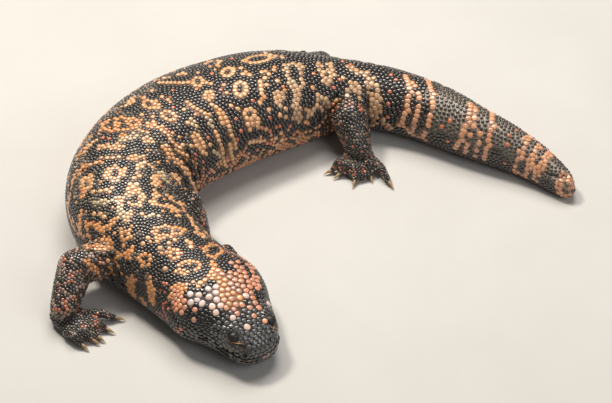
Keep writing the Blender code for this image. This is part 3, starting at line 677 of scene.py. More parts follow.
# The pale lines under both eyes, the far ones mirrored: side, tone and points on the skin.
def lidPaths(tree):
    _, left, _ = spineAt(np.array([0.0]))
    found = []
    for side in (1, -1):
        middle = headPlace(eye, side)
        for thing in lidLines.values():
            line = np.array(ontoSkin(tree, thing["line"]))
            if side < 0:
                out = (line[:, :2] - spinePlan[0]) @ left[0]
                line[:, :2] -= 2 * out[:, None] * left[0]
            line, normals = snap(line, tree)
            line = line + normals * lidLine["width"] * lidLine["out"]
            away = line - middle
            far = np.linalg.norm(away, axis=1)[:, None]
            line = middle + away * np.maximum(1, (eye["radius"] * eye["clear"] + eye["lidRoom"]) / far)
            found.append((side, thing["tone"], line))
    return found


onBodyWithin = 0.0012  # from the bare body's surface
offLegPast = 1.7  # in shares of the leg's radius
steepest = 0.2  # skin that stands nearly across the body's way gets another
farSide = dict(seen=0.12, drift=0.006, waves=60, share=0.92)


# Points of the skin with all that the coat asks about them.
class Places:
    def __init__(self, points, normals):
        self.points, self.normals = points, normals
        self.back, self.share = bodyCoordinates(points)
        self.skull, self.skullOut, self.up = headFrame(points)
        self.leg, self.part, self.along, self.turn, self.legWay, near = legCoordinates(points)
        away = np.linalg.norm(points - bodyPoint(self.back, self.share), axis=1)
        self.onBody = (away < onBodyWithin) | (near > offLegPast)
        self.leg[self.onBody] = -1
        lineBack, lineUp = np.array(mouth["line"]).T
        self.lipGap = self.up - np.interp(self.skull, lineBack, lineUp)
        self.eyeAway, self.nostrilAway, self.earAway = [
            np.minimum(*[np.linalg.norm(points - headPlace(thing, side), axis=1) for side in (1, -1)])
            for thing in (eye, nostril, ear)]
        facing = cameraPlace - points
        facing /= np.linalg.norm(facing, axis=1)[:, None]
        self.seen = (facing * normals).sum(axis=1)

    # The marking at each place: what the photograph hides takes after the other side.
    def tone(self, wobble):
        hidden = (self.seen < farSide["seen"]) & (self.leg < 0)
        drift = farSide["drift"] * np.sin(self.back * farSide["waves"])
        mirrored = bodyPoint(self.back + drift, -self.share * farSide["share"])
        return toneOf(np.where(hidden[:, None], mirrored, self.points), wobble)

    # How far apart scales grow.
    def spacing(self):
        share, back = np.abs(self.share), self.back
        wide = np.interp(back, *np.array(coat["spacing"]).T)
        low = rising(share, *regions["belly"]) * (back > regions["bellyFrom"])
        wide = wide + (coat["belly"] * wide / coat["backSize"] - wide) * low
        crown = np.interp(self.lipGap, coat["upFromLip"], (coat["lip"], coat["cheek"], coat["crown"]))
        jaw = np.interp(-self.lipGap, coat["downFromLip"], (coat["lip"], coat["chin"]))
        crown = np.where(self.lipGap < 0, jaw, crown)
        front = falling(self.skull, *regions["muzzle"]) * rising(self.lipGap, *regions["overLip"])
        crown = crown + (coat["muzzle"] - crown) * front
        openings = dict(roundEye=self.eyeAway, roundNostril=self.nostrilAway, roundEar=self.earAway)
        for name, away in openings.items():
            crown = np.minimum(crown, np.interp(away, *np.array(coat[name]).T))
        wide = wide + (crown - wide) * falling(back, *regions["head"])
        upper = np.interp(self.along, coat["downThigh"], (coat["thigh"], coat["leg"]))
        limbWide = np.select([self.part <= 1, self.part == 2], [upper, coat["hand"]], coat["toe"])
        limbWide = np.where((self.normals[:, 2] < regions["sole"]) & (self.part >= 2), coat["sole"], limbWide)
        return np.where(self.leg >= 0, limbWide, wide)

    # How far a scale of this spacing stands up.
    def height(self, wide, pale):
        onHead = self.back < regions["headHeight"]
        rise = np.interp(self.back, regions["crownHeight"], (coat["crownRise"], coat["rise"]))
        front = falling(self.skull, *regions["muzzleHeight"]) * onHead
        rise = rise + (coat["muzzleRise"] - rise) * front
        lips = falling(np.abs(self.lipGap), *regions["lipHeight"])
        lips = lips * (self.skull < mouth["end"] + regions["lipPast"])
        rise = rise + (coat["lipRise"] - rise) * lips * onHead
        low = rising(np.abs(self.share), *regions["bellyHeight"]) * (self.back > regions["headHeight"])
        rise = rise + (coat["bellyRise"] - rise) * low
        rise = np.where(self.leg >= 0, coat["rise"], rise)
        under = rising(-self.normals[:, 2], *regions["underside"])
        rise = rise + (coat["bellyRise"] - rise) * under
        return wide * rise * np.where(pale, coat["paleRise"], 1.0)

    # The way along the body, head to tail, or along the limb, in the plane of the skin.
    def ahead(self):
        _, _, forward = spineAt(self.back)
        way = np.column_stack([-forward, np.zeros(len(forward))])
        way = np.where((self.leg >= 0)[:, None], self.legWay, way)
        way = way - (way * self.normals).sum(axis=1)[:, None] * self.normals
        size = np.linalg.norm(way, axis=1)
        spare = np.cross(self.normals, (1, 0, 0))
        way = np.where((size > steepest)[:, None], way, spare)
        return way / np.linalg.norm(way, axis=1)[:, None]


def kdTreeOf(points):
    tree = KDTree(len(points))
    for i, point in enumerate(points):
        tree.insert(point, i)
    tree.balance()
    return tree


# The rows that scales grow in: how deep they are, how they wave, and their order from the lips to the toes
growth = dict(
    step=0.0006, limbStep=0.0005, lipStep=0.0005, lipAway=0.0017,
    wave=0.0011, waveShare=11, waveBack=60, ripple=0.0007, rippleShare=29,
    limbWave=0.0009, limbTurn=3, limbAlong=280,
    lips=-100, limbs=2000, limbApart=300, toes=100,
    sideShare=50, rightAfter=0.1, skullSide=1000,
)
# Places tried in each face besides its corners, as shares of the corners in tenths
facePlaces = ((5, 2, 1, 2), (2, 5, 2, 1), (1, 2, 5, 2), (2, 1, 2, 5))


# Chooses where scales grow: the picked ones first, then row after row, each in the gaps of the last.
def seedScales(skin, tree, picked):
    mesh = skin.data
    points, normals = meshPoints(mesh), meshNormals(mesh)
    corners = np.array([p.vertices[:] if len(p.vertices) == 4 else (*p.vertices[:3], p.vertices[0])
                        for p in mesh.polygons])
    shares = np.array(facePlaces) / 10
    points, normals = [
        np.vstack([values] + [(values[corners] * share[:, None]).sum(axis=1) for share in shares])
        for values in (points, normals)]
    normals /= np.linalg.norm(normals, axis=1)[:, None]
    places = Places(points, normals)
    onBody = places.leg < 0
    pale = np.isin(places.tone(0), paleTones)
    broad = np.where(pale, coat["broad"], coat["narrow"])
    wide = places.spacing() * np.where(onBody & (places.back > coat["broadFrom"]), broad, 1)
    onHead = (places.back < regions["skullEnd"]) & onBody
    wide = np.where(onHead & pale & (places.lipGap > regions["crownUp"]), coat["paleCrown"], wide)
    bare = (np.abs(places.lipGap) < coat["bareLip"]) & (places.skull < mouth["end"]) & onHead
    bare |= places.eyeAway < eye["radius"] + coat["bareEye"]
    for _, _, line in pathsOfLids:
        bare |= lineDistance(points, line) < lidLine["width"] + coat["bareLine"] * wide
    bare |= places.nostrilAway < nostril["radius"] + coat["bareNostril"]
    bare |= places.earAway < coat["bareEar"]
    wave = growth["wave"] * np.sin(places.share * growth["waveShare"] + places.back * growth["waveBack"])
    ripple = growth["ripple"] * np.sin(places.share * growth["rippleShare"])
    limbWave = np.sin(places.turn * growth["limbTurn"] + places.along * growth["limbAlong"])
    bodyRow = np.round((places.back + (wave + ripple)) / growth["step"])
    limbRow = np.round((places.along + growth["limbWave"] * limbWave) / growth["limbStep"])
    limbRow = limbRow + growth["toes"] * (places.part > 2)
    row = np.where(onBody, bodyRow, growth["limbs"] + growth["limbApart"] * places.leg + limbRow)
    # along the lips first, then up over the head
    headRow = np.round(np.abs(np.abs(places.lipGap) - growth["lipAway"]) / growth["lipStep"]) + growth["lips"]
    row = np.where(onHead, headRow, row)
    bodySide = np.abs(places.share) * growth["sideShare"] + (places.share < 0) * growth["rightAfter"]
    side = np.where(onBody, bodySide, places.turn)
    side = np.where(onHead, places.skull * growth["skullSide"], side)
    order = np.lexsort((side, row))
    free = kdTreeOf(points)
    taken = bare.tolist()
    spacing = wide.tolist()
    chosen, sizes = [], []

    def take(point, size):
        chosen.append(point)
        sizes.append(size)
        for _, j, away in free.find_range(point, size * coat["look"]):
            if away < (size + spacing[j]) * coat["pack"]:
                taken[j] = True

    for point, size in picked:
        take(point, size)
    for i in order.tolist():
        if not taken[i]:
            take(points[i], spacing[i])
    return settle(np.array(chosen), np.array(sizes), len(picked), tree)


def neighbours(points, count):
    tree = kdTreeOf(points)
    found = np.array([[j for _, j, _ in tree.find_n(point, count + 1)] for point in points])
    return found[:, 1:]


def snap(points, tree):
    found = [tree.find_nearest(point) for point in points]
    return np.array([spot[0] for spot in found], float), np.array([spot[1] for spot in found], float)


settling = dict(rounds=4, near=6, want=1.05, push=0.35)


# Lets crowded scales push each other apart over the skin, with the picked ones held.
def settle(points, wide, held, tree):
    for _ in range(settling["rounds"]):
        near = neighbours(points, settling["near"])
        away = points[:, None] - points[near]
        gap = np.linalg.norm(away, axis=2)
        want = (wide[:, None] + wide[near]) / 2 * settling["want"]
        push = np.clip(want - gap, 0, None) * settling["push"]
        push[:held] = 0
        points = points + (away / gap[:, :, None] * push[:, :, None]).sum(axis=1)
        points, normals = snap(points, tree)
    return points, normals, wide


# The markings. Places are in the photograph, in pixels: rings are x, y, how wide, how tall and a turn in
# degrees, bars are lines, spots and holes are x, y and a radius, and beads are single scales of a given size.
# reach is half a line's width in metres, and a group with a chain has its scales strung at that step.
marks = dict(
    loin=dict(
        tone="fawn", reach=0.0018, broadReach=0.0024,
        bars=(
            ((285, 65), (288, 77), (290, 86), (294, 92)), ((285, 65), (293, 63), (301, 66)),
            ((301, 66), (302, 76), (302, 86), (298, 92), (297, 101), (298, 111), (299, 120)),
            ((294, 92), (295, 100)), ((294, 107), (295, 117)), ((265, 53), (274, 57), (284, 57)),
            ((319, 63), (320, 73), (325, 82)), ((329, 63), (332, 72), (332, 79), (327, 83)),
            ((321, 71), (330, 72)),
            ((316, 97), (329, 100), (322, 108), (315, 107), (316, 97)), ((315, 107), (309, 115), (308, 120)),
            ((347, 66), (357, 72), (365, 72), (371, 80), (377, 86), (379, 101), (377, 115), (374, 126)),
            ((365, 72), (367, 84), (371, 101), (371, 118)), ((323, 77), (331, 77)), ((374, 104), (375, 124)),
        ),
        broad=(
            ((352, 84), (347, 96)), ((355, 84), (361, 98)), ((278, 95), (284, 96)), ((276, 101), (278, 103)),
            ((384, 122), (389, 128)),
        ),
        holes=((294, 74, 2), (352, 95, 3), (326, 68, 2), (325, 75, 2), (328, 79, 2)),
    ),
    ribs=dict(
        tone="peach", reach=0.0017, chain=0.0029,
        rings=((258, 59, 25, 7, -8), (228, 72, 12, 8, -20), (241, 89, 12, 14, 0), (250, 114, 11, 10, 0),
               (169, 116, 15, 8, 20), (198, 82, 10, 9, 0), (209, 96, 8, 9, 10)),
        bars=(
            ((204, 65), (212, 61), (221, 61), (216, 66), (208, 67)), ((176, 76), (183, 73), (187, 75)),
            ((161, 83), (172, 83), (185, 83), (190, 82)), ((162, 79), (168, 78)), ((205, 83), (212, 83)),
            ((260, 80), (262, 92)), ((258, 117), (258, 129)), ((247, 122), (249, 127)),
            ((251, 123), (255, 126)),
            ((210, 104), (216, 107), (223, 113), (227, 120), (230, 129), (232, 136), (235, 142), (236, 150)),
            ((216, 107), (220, 116), (223, 126)), ((186, 101), (193, 107), (199, 110), (207, 115)),
            ((217, 134), (219, 141), (222, 148), (223, 157), (225, 166)),
            ((229, 143), (231, 153), (233, 160)),
            ((192, 135), (197, 146), (204, 154)), ((197, 134), (203, 143), (206, 153)),
            ((152, 104), (158, 104)),
            ((153, 124), (160, 129), (167, 134)), ((248, 143), (255, 141), (262, 141)),
        ),
    ),
    flank=dict(
        tone="peach", reach=0.0016, broadReach=0.0022,
        rings=((151, 105, 17, 7, 5), (86, 183, 8, 13, 10)),
        bars=(
            ((154, 122), (162, 128), (168, 136), (173, 142)),
            ((171, 140), (177, 147), (185, 154), (192, 161)),
            ((192, 161), (197, 172), (199, 186)), ((175, 158), (184, 168), (192, 182), (195, 191)),
            ((137, 171), (139, 166), (146, 163), (153, 168)), ((129, 158), (141, 157)),
            ((142, 130), (147, 133)),
            ((153, 177), (161, 177)), ((151, 203), (159, 205), (167, 206), (178, 209)),
            ((167, 196), (172, 199), (177, 203)), ((181, 204), (184, 210)),
            ((189, 217), (193, 223), (197, 229)),
            ((126, 196), (132, 193), (139, 191), (143, 198), (139, 206), (129, 203)),
            ((148, 122), (149, 128)),
            ((130, 212), (127, 219)), ((175, 210), (178, 215)), ((172, 174), (180, 182)),
        ),
        broad=(
            ((164, 146), (168, 152), (170, 158)), ((174, 157), (181, 165), (187, 173)),
            ((163, 146), (168, 151)),
            ((155, 178), (156, 190), (156, 202)), ((105, 176), (111, 169), (117, 167), (124, 171)),
            ((106, 177), (115, 180), (124, 173)), ((197, 233), (204, 236)),
            ((127, 105), (132, 99), (134, 101)),
            ((145, 139), (152, 142)), ((112, 149), (118, 146), (122, 147)), ((100, 147), (109, 146)),
            ((87, 147), (94, 142)), ((120, 198), (120, 203)),
        ),
        holes=((115, 174, 3), (157, 188, 2), (158, 199, 2), (137, 198, 3), (168, 202, 2)),
    ),
    leftSide=dict(
        tone="orange", reach=0.0016, broadReach=0.0023,
        bars=(
            ((76, 172), (70, 196), (68, 209), (74, 229), (87, 247)),
            ((81, 212), (80, 220), (81, 234), (86, 246)),
            ((103, 124), (111, 119), (120, 118), (128, 119), (138, 121)), ((81, 153), (76, 162)),
            ((101, 130), (112, 130), (120, 130), (128, 129), (138, 125)), ((117, 121), (118, 129)),
            ((127, 120), (131, 125)), ((87, 223), (96, 227), (106, 230), (112, 224), (118, 218)),
            ((87, 223), (88, 232), (90, 241)), ((118, 255), (127, 255), (133, 248)),
            ((127, 255), (131, 258)),
            ((87, 260), (97, 272), (103, 281)), ((84, 164), (78, 176)), ((78, 156), (84, 154)),
        ),
        broad=(
            ((103, 231), (105, 228)), ((96, 245), (104, 241), (111, 244)),
            ((97, 247), (104, 248), (111, 246)), ((102, 127), (107, 122)), ((84, 190), (82, 197)),
        ),
        holes=((104, 245, 2), (113, 124, 2), (123, 125, 2), (100, 172, 2)),
    ),
    pale=dict(
        tone="cream", reach=0.0015, broadReach=0.0021,
        bars=(
            ((95, 203), (106, 202), (116, 199), (126, 196)), ((147, 215), (154, 214), (161, 216)),
            ((277, 101), (279, 105)), ((292, 82), (294, 86)), ((190, 120), (197, 128)),
            ((207, 118), (214, 128)),
            ((160, 172), (168, 182)), ((214, 150), (220, 158)),
        ),
        broad=(
            ((120, 141), (127, 139), (135, 135)), ((120, 204), (121, 210), (122, 215)),
            ((146, 138), (151, 140)),
        ),
    ),
    neck=dict(
        tone="orange", reach=0.0014, broadReach=0.0020,
        rings=((145, 260, 10, 9, 0), (174, 253, 11, 9, -20), (189, 267, 23, 10, -18)),
        bars=(
            ((122, 231), (130, 232), (131, 237), (125, 241), (122, 236), (122, 231)),
            ((123, 240), (124, 247)),
            ((152, 231), (160, 227), (172, 226), (187, 230), (180, 233), (170, 236)),
            ((213, 257), (214, 269)),
            ((205, 247), (206, 253), (212, 257), (220, 254), (222, 250), (218, 246), (211, 245), (205, 247)),
            ((106, 258), (113, 274)), ((116, 261), (123, 277)), ((206, 234), (215, 240), (223, 247)),
            ((172, 287), (184, 284), (197, 283), (204, 283), (209, 279), (212, 272)),
            ((174, 287), (171, 297)),
            ((183, 294), (179, 299)),
        ),
        broad=(((156, 232), (158, 239), (166, 236)), ((178, 271), (184, 273)),
               ((132, 277), (133, 286), (134, 297)), ((149, 285), (151, 296), (154, 304)),
               ((198, 283), (204, 281)),
               ((142, 298), (146, 308), (149, 316))),
        spots=((130, 281, 5), (131, 287, 6), (133, 294, 5), (149, 284, 4), (151, 290, 5), (152, 296, 5)),
        holes=((145, 260, 3), (174, 253, 3), (191, 268, 4), (212, 251, 4), (203, 276, 3)),
    ),
    crownWhite=dict(
        tone="white", reach=0.0021, size=0.0039,
        bars=(((191, 298), (203, 298), (214, 303)), ((208, 291), (215, 295))),
        beads=((208, 289), (199, 295), (216, 287), (216, 293), (209, 297), (217, 300), (190, 294), (191, 303),
               (202, 304), (212, 307), (216, 313), (246, 296), (247, 327), (268, 304), (233, 318),
               (221, 306)),
    ),
    crownPink=dict(
        tone="pink", reach=0.0026, size=0.0034,
        beads=(
            (231, 263), (236, 267), (238, 262), (242, 268), (247, 265), (246, 260), (252, 266), (252, 272),
            (222, 274), (230, 277), (236, 274), (235, 280), (241, 281), (246, 277), (231, 284), (249, 282),
            (250, 287), (259, 286), (258, 278), (239, 291), (244, 292), (253, 290), (231, 299), (228, 295),
            (236, 305), (242, 305), (253, 298), (255, 303), (224, 300), (226, 308), (250, 308), (259, 308),
            (229, 310), (237, 314), (254, 316), (249, 324), (265, 321), (184, 301), (194, 320), (234, 312),
            (195, 310), (180, 306),
        ),
        bars=(((236, 264), (243, 274), (246, 288), (250, 298)), ((248, 264), (254, 276), (256, 288)),
              ((230, 274), (234, 286), (236, 300)), ((222, 274), (226, 282)),
              ((226, 292), (230, 302), (240, 309)),
              ((173, 290), (180, 298), (184, 306)), ((176, 303), (181, 311))),
    ),
    crownEdge=dict(tone="orange", reach=0.0020, bars=(((186, 288), (180, 294)), ((218, 281), (221, 291)))),
    crownOrange=dict(
        tone="orange", size=0.0031,
        beads=((224, 285), (222, 290), (225, 280), (219, 278), (214, 275), (222, 296), (240, 298), (233, 293),
               (218, 270), (226, 289), (229, 304)),
    ),
    tail=dict(
        tone="blush", reach=0.0019, chain=0.0030, size=0.0035,
        bars=(
            ((405, 75), (410, 90), (407, 108), (402, 124)), ((418, 92), (420, 102), (417, 116), (412, 132)),
            ((426, 78), (432, 92), (433, 108), (428, 128), (422, 138)), ((411, 82), (416, 86)),
            ((408, 131), (415, 136), (424, 139)), ((471, 103), (468, 122), (462, 136), (455, 149)),
            ((476, 109), (474, 126), (466, 152)), ((481, 132), (479, 144), (475, 157)),
            ((492, 110), (492, 126), (488, 144), (484, 160)), ((476, 102), (486, 106)),
        ),
        spots=((430, 84, 3), (396, 124, 3)),
    ),
    tailTip=dict(
        tone="blush", reach=0.0026,
        bars=(((528, 137), (521, 153), (515, 171)), ((539, 145), (531, 160), (525, 176)),
              ((550, 154), (541, 165), (534, 179)), ((529, 137), (540, 143), (550, 152)),
              ((562, 176), (559, 184), (558, 192), (561, 198)), ((566, 177), (571, 183), (573, 189)),
              ((562, 197), (569, 199))),
        holes=((564, 185, 2), (572, 190, 2), (574, 198, 2)),
    ),
    groin=dict(
        tone="tan", reach=0.0009,
        bars=(
            ((343, 98), (332, 104), (325, 118), (329, 129), (339, 135)),
            ((339, 101), (332, 110), (330, 121), (333, 129)), ((374, 108), (373, 122)),
        ),
    ),
    specks=dict(
        tone="coral", size=0.0028,
        beads=(
            (442, 127), (450, 121), (448, 141), (508, 145), (505, 163), (390, 92), (388, 117), (386, 127),
            (241, 131), (236, 119), (253, 101), (270, 118), (276, 127), (270, 131), (221, 90), (212, 74),
            (208, 138), (232, 59), (275, 128), (267, 143), (390, 115), (391, 75), (396, 80),
            (103, 138), (109, 139), (262, 128), (290, 126), (294, 134), (314, 74), (340, 80), (334, 88),
        ),
    ),
    amber=dict(
        tone="peach", size=0.0029,
        beads=(
            (241, 68), (243, 74), (250, 75), (262, 72), (269, 74), (265, 78), (267, 85), (278, 81),
            (274, 70),
            (198, 73), (224, 85), (227, 93), (250, 123), (250, 130), (231, 106), (238, 109), (260, 103),
            (269, 110),
            (266, 129), (184, 110), (188, 123), (191, 146), (183, 145), (210, 145), (276, 138), (277, 145),
            (281, 133), (313, 88), (343, 78), (268, 110), (286, 109), (286, 117), (280, 115), (275, 138),
            (282, 140), (278, 145), (270, 151), (152, 91), (144, 98), (162, 97), (168, 100), (142, 115),
            (153, 117),
            (101, 158), (107, 158), (113, 158), (96, 163), (119, 157), (90, 165), (140, 176), (134, 178),
            (130, 184), (137, 184), (133, 187), (128, 189), (93, 192), (100, 191), (106, 190), (112, 188),
            (169, 243), (175, 240), (191, 243), (187, 241), (191, 247), (188, 247), (143, 244), (148, 238),
            (142, 214), (94, 214), (100, 214), (104, 217), (183, 154), (165, 269), (160, 248),
        ),
    ),
    lip=dict(tone="rose", reach=0.0009, bars=(((262, 357), (268, 354), (274, 349), (278, 345)),)),
)
# Colours as they look on a screen, and that of the skin between such scales
tones = dict(
    peach=((218, 168, 122), (182, 128, 86)), orange=((212, 151, 97), (172, 114, 69)),
    fawn=((194, 157, 121), (152, 117, 88)), blush=((208, 154, 119), (160, 110, 83)),
    cream=((196, 172, 138), (112, 94, 76)), pink=((210, 149, 120), (58, 38, 32)),
    white=((222, 196, 186), (52, 42, 39)), coral=((192, 112, 82), (46, 34, 29)),
    clay=((150, 98, 74), (42, 33, 28)), tan=((166, 120, 70), (104, 70, 40)),
    rose=((160, 132, 122), (66, 48, 42)), dark=((42, 34, 29), (24, 19, 16)),
    limb=((48, 40, 34), (28, 23, 20)), dusky=((64, 50, 43), (38, 30, 26)),
    # on the tail's grey, the pale skin between the dark scales is partly its own pale skin and partly painted
    # glints
    grey=((40, 35, 33), (156, 146, 134)), ash=((112, 100, 86), (42, 36, 30)),
    # the nose's scales are black; their lighter grey here is a painted sheen, a painted reflection of light
    # on their glossy tops
    black=((30, 26, 23), (15, 13, 12)), blackWithPaintedSheen=((80, 80, 81), (12, 11, 11)),
    apricot=((200, 142, 102), (66, 47, 37)), smoke=((42, 36, 33), (86, 79, 71)),
)
toneNames = list(tones)
paleNames = (
    "peach", "orange", "fawn", "blush", "cream", "pink", "white", "coral", "clay", "tan", "rose", "apricot",
)
paleTones = [toneNames.index(name) for name in paleNames]


# A screen colour as the renderer's light.
def paint(tone, part=0):
    value = np.array(tones[tone][part]) / 255
    return np.where(value < 0.04045, value / 12.92, ((value + 0.055) / 1.055) ** 2.4)


# A ring's line as places in the photograph.
def ringPlaces(ring, corners=16):
    x, y, wide, tall, turn = ring
    angle = np.arange(corners) / corners * 2 * math.pi
    a, b = np.cos(angle) * wide / 2, np.sin(angle) * tall / 2
    turn = math.radians(turn)
    across = x + a * math.cos(turn) - b * math.sin(turn)
    down = y + a * math.sin(turn) + b * math.cos(turn)
    return np.column_stack([across, down])


# Scales set one after another along a line on the skin.
def strung(line, size):
    line = np.array(line)
    lengths = np.concatenate([[0], np.cumsum(np.linalg.norm(np.diff(line, axis=0), axis=1))])
    count = max(1, round(lengths[-1] / size))
    steps = (np.arange(count) + 0.5) / count * lengths[-1]
    return np.column_stack([np.interp(steps, lengths, line[:, k]) for k in range(3)])


# The markings as lines on the skin (tone, half width, points), the single scales (tone, size, place), and
# the dark holes in the markings (half width, place).
def readMarks(tree, crowded=0.42):
    scale = photo["span"] / photo["width"]
    found, single, dark = [], [], []
    for group in marks.values():
        number = toneNames.index(group["tone"])
        rings, bars, broad = [group.get(kind, ()) for kind in ("rings", "bars", "broad")]
        drawn = [ringPlaces(ring) for ring in rings] + list(bars) + list(broad)
        narrow = len(rings) + len(bars)
        for k, places in enumerate(drawn):
            line = ontoSkin(tree, places)
            if k < len(rings):
                line.append(line[0])
            reach = group["reach"] if k < narrow else group["broadReach"]
            found.append((number, reach, line))
            if "chain" in group:
                size = group.get("size", group["chain"])
                single += [(number, size, spot) for spot in strung(line, group["chain"])]
        for x, y, size in group.get("spots", ()):
            found.append((number, size * scale, ontoSkin(tree, [(x, y)]) * 2))
        for x, y, size in group.get("holes", ()):
            dark.append((size * scale, ontoSkin(tree, [(x, y)])[0]))
        single += [(number, group["size"], spot) for spot in ontoSkin(tree, group.get("beads", ()))]
    # where two picked scales would crowd each other, the first stays
    clear = []
    for number, size, spot in single:
        if all(np.linalg.norm(spot - other) > (size + wide) * crowded for _, wide, other in clear):
            clear.append((number, size, spot))
    return found, clear, dark


holeShare = 0.9  # of a hole's radius that stays dark
roundLine = 0.001  # how far past a line's reach points are looked at


# The number of the tone at each point, or -1 where it is plain. Lines' edges wobble by the metres given.
def toneOf(points, wobble):
    best = np.zeros(len(points))
    tone = np.full(len(points), -1)
    for number, reach, line in lines:
        line = np.array(line)
        middle = line.mean(axis=0)
        room = np.linalg.norm(line - middle, axis=1).max() + reach + roundLine
        close = np.flatnonzero(np.linalg.norm(points - middle, axis=1) < room)
        if len(close) == 0:
            continue
        inside = lineDistance(points[close], line) - reach + (wobble[close] if np.ndim(wobble) else wobble)
        better = inside < best[close]
        best[close[better]] = inside[better]
        tone[close[better]] = number
    for reach, spot in darkHoles:
        tone[np.linalg.norm(points - spot, axis=1) < reach * holeShare] = -1
    return tone


# Soft noise over the points, about -1 to 1.
def blotches(points, size, seed):
    return np.array([noise.noise(Vector(p) / size + Vector((seed, seed * 2.0, 0))) for p in points])


# Stretches of the body with tones of their own between the markings, as ends of back and share; side is the
# share to either side
zones = dict(
    spine=dict(back=(0.075, 0.215), share=(-0.35, 0.42)), under=dict(back=(0.05, 1), side=(0.80, 2)),
    inner=dict(back=(0.150, 0.335), share=(0.36, 0.96)),
    innerHigh=dict(back=(0.150, 0.335), share=(0.36, 0.80)),
    innerLow=dict(back=(0.150, 0.335), share=(0.54, 0.96)),
    outer=dict(back=(0.10, 0.30), share=(-0.80, -0.34)), trunk=dict(back=(0.06, 1)),
    strewn=dict(back=(0.065, 0.300), side=(-1, 0.50)), skull=dict(back=(-1, 0.052)),
    cheek=dict(back=(0.044, 0.072), side=(0.26, 0.62)),
)
# What the noise has to pass for a tone, and the share of scales that then take it
speckle = dict(
    cloud=(0.013, 3.0), fine=(0.0045, 8.0),
    greyFrom=0.388, greyDrift=0.02, greyOver=-0.55, smokeShift=0.1, smokeSide=0.55, smokeDrift=0.12,
    ashMix=0.6, ashOver=0.14, ash=0.62, duskyOver=0.10,
    innerFade=0.030, innerLeast=0.04, innerGain=1.3, innerFrom=0.44, innerSlope=3, innerMost=0.42,
    innerFawn=0.16, innerCoral=0.07, outer=0.12, trunk=0.012, strewn=0.03, cheek=0.20,
    legMix=0.7, clayOver=0.10, clay=0.38, legCoralOver=0.14, legCoral=0.10, legRose=0.06,
    legAshUnder=-0.20, legAsh=0.6, upperArm=0.35, shownArm=(0.66, 0.82),
    noseEnd=0.026, noseDrift=0.004, noseUp=0.004,
    # how the markings' edges wobble, and how single scales differ in light and warmth
    wobble=0.0002, light=0.12, warm=0.035, crownWarm=0.9, warmth=(1.0, 0.1, -1.0), least=0.002, most=0.95,
)


# One colour for each scale, and one for the skin round it.
def colourScales(places, picked):
    rule = speckle
    count = len(places.points)
    chance = luck.random(count)
    tone = places.tone(luck.normal(0, rule["wobble"], count))
    plain = tone < 0
    onLeg = places.leg >= 0
    back, share = places.back, places.share
    cloud = blotches(places.points, *rule["cloud"])
    fine = blotches(places.points, *rule["fine"])

    def give(where, name):
        tone[where & plain] = toneNames.index(name)

    def zone(name):
        found = ~onLeg
        for key, value in dict(back=back, share=share, side=np.abs(share)).items():
            low, high = zones[name].get(key, (-farAway, farAway))
            found = found & (value > low) & (value < high)
        return found

    give(plain, "dark")
    give(~onLeg & (back > rule["greyFrom"] + rule["greyDrift"] * cloud) & (cloud > rule["greyOver"]), "grey")
    side = np.abs(share + rule["smokeShift"])
    give((tone == toneNames.index("grey")) & (side > rule["smokeSide"] + rule["smokeDrift"] * fine), "smoke")
    give(zone("spine") & (cloud + rule["ashMix"] * fine > rule["ashOver"]) & (chance < rule["ash"]), "ash")
    give(zone("under"), "dusky")
    give(zone("under") & (cloud > rule["duskyOver"]), "apricot")
    # rows of pale scales low on the inner flank
    first, last = zones["inner"]["back"]
    ends = np.clip(np.minimum(back - first, last - back) / rule["innerFade"], 0, 1)
    lower = np.clip((share - rule["innerFrom"]) * rule["innerSlope"], 0, rule["innerMost"])
    give(zone("innerHigh"), "dark")
    give(zone("inner") & (chance < ends * (rule["innerLeast"] + rule["innerGain"] * lower)), "apricot")
    give(zone("innerLow") & (chance > 1 - rule["innerFawn"] * ends), "fawn")
    give(zone("inner") & (chance > 1 - rule["innerCoral"]), "coral")
    give(zone("outer") & (chance < rule["outer"]), "peach")
    give(zone("trunk") & (chance < rule["trunk"]), "coral")
    # single pale scales strewn over the dark of the back
    give(zone("strewn") & (chance > 1 - rule["strewn"]), "orange")
    give(onLeg, "limb")
    near = onLeg & (places.leg != 3)
    mixed = fine + cloud * rule["legMix"]
    give(near & (mixed > rule["clayOver"]) & (chance < rule["clay"]), "clay")
    give(near & (mixed > rule["legCoralOver"]) & (chance > 1 - rule["legCoral"]), "coral")
    give(near & (chance < rule["legRose"]), "rose")
    give(onLeg & (fine < rule["legAshUnder"]) & (chance < rule["legAsh"]), "ash")
    give(zone("skull"), "black")
    # the black scales on top of the nose are painted lighter: a painted sheen
    nose = places.skull < rule["noseEnd"] + rule["noseDrift"] * cloud
    give(~onLeg & nose & (places.lipGap > rule["noseUp"]), "blackWithPaintedSheen")
    give((places.leg == 1) & (places.part == 0) & (chance < rule["upperArm"]), "rose")
    low, high = rule["shownArm"]
    give((places.leg == 0) & (places.part <= 1) & (chance > low) & (chance < high), "rose")
    give(zone("cheek") & (chance > 1 - rule["cheek"]), "coral")
    tone[:len(picked)] = [number for number, _, _ in picked]
    palette = np.array([paint(name) for name in toneNames])
    between = np.array([paint(name, 1) for name in toneNames])
    colour, groove = palette[tone], between[tone]
    light = luck.normal(1, rule["light"], (count, 1))
    crown = np.isin(tone, [toneNames.index("pink"), toneNames.index("white")])
    warm = luck.normal(0, rule["warm"], (count, 1)) * (1 + rule["crownWarm"] * crown[:, None])
    colour = np.clip(colour * light * (1 + warm * np.array(rule["warmth"])), rule["least"], rule["most"])
    return colour, groove, tone


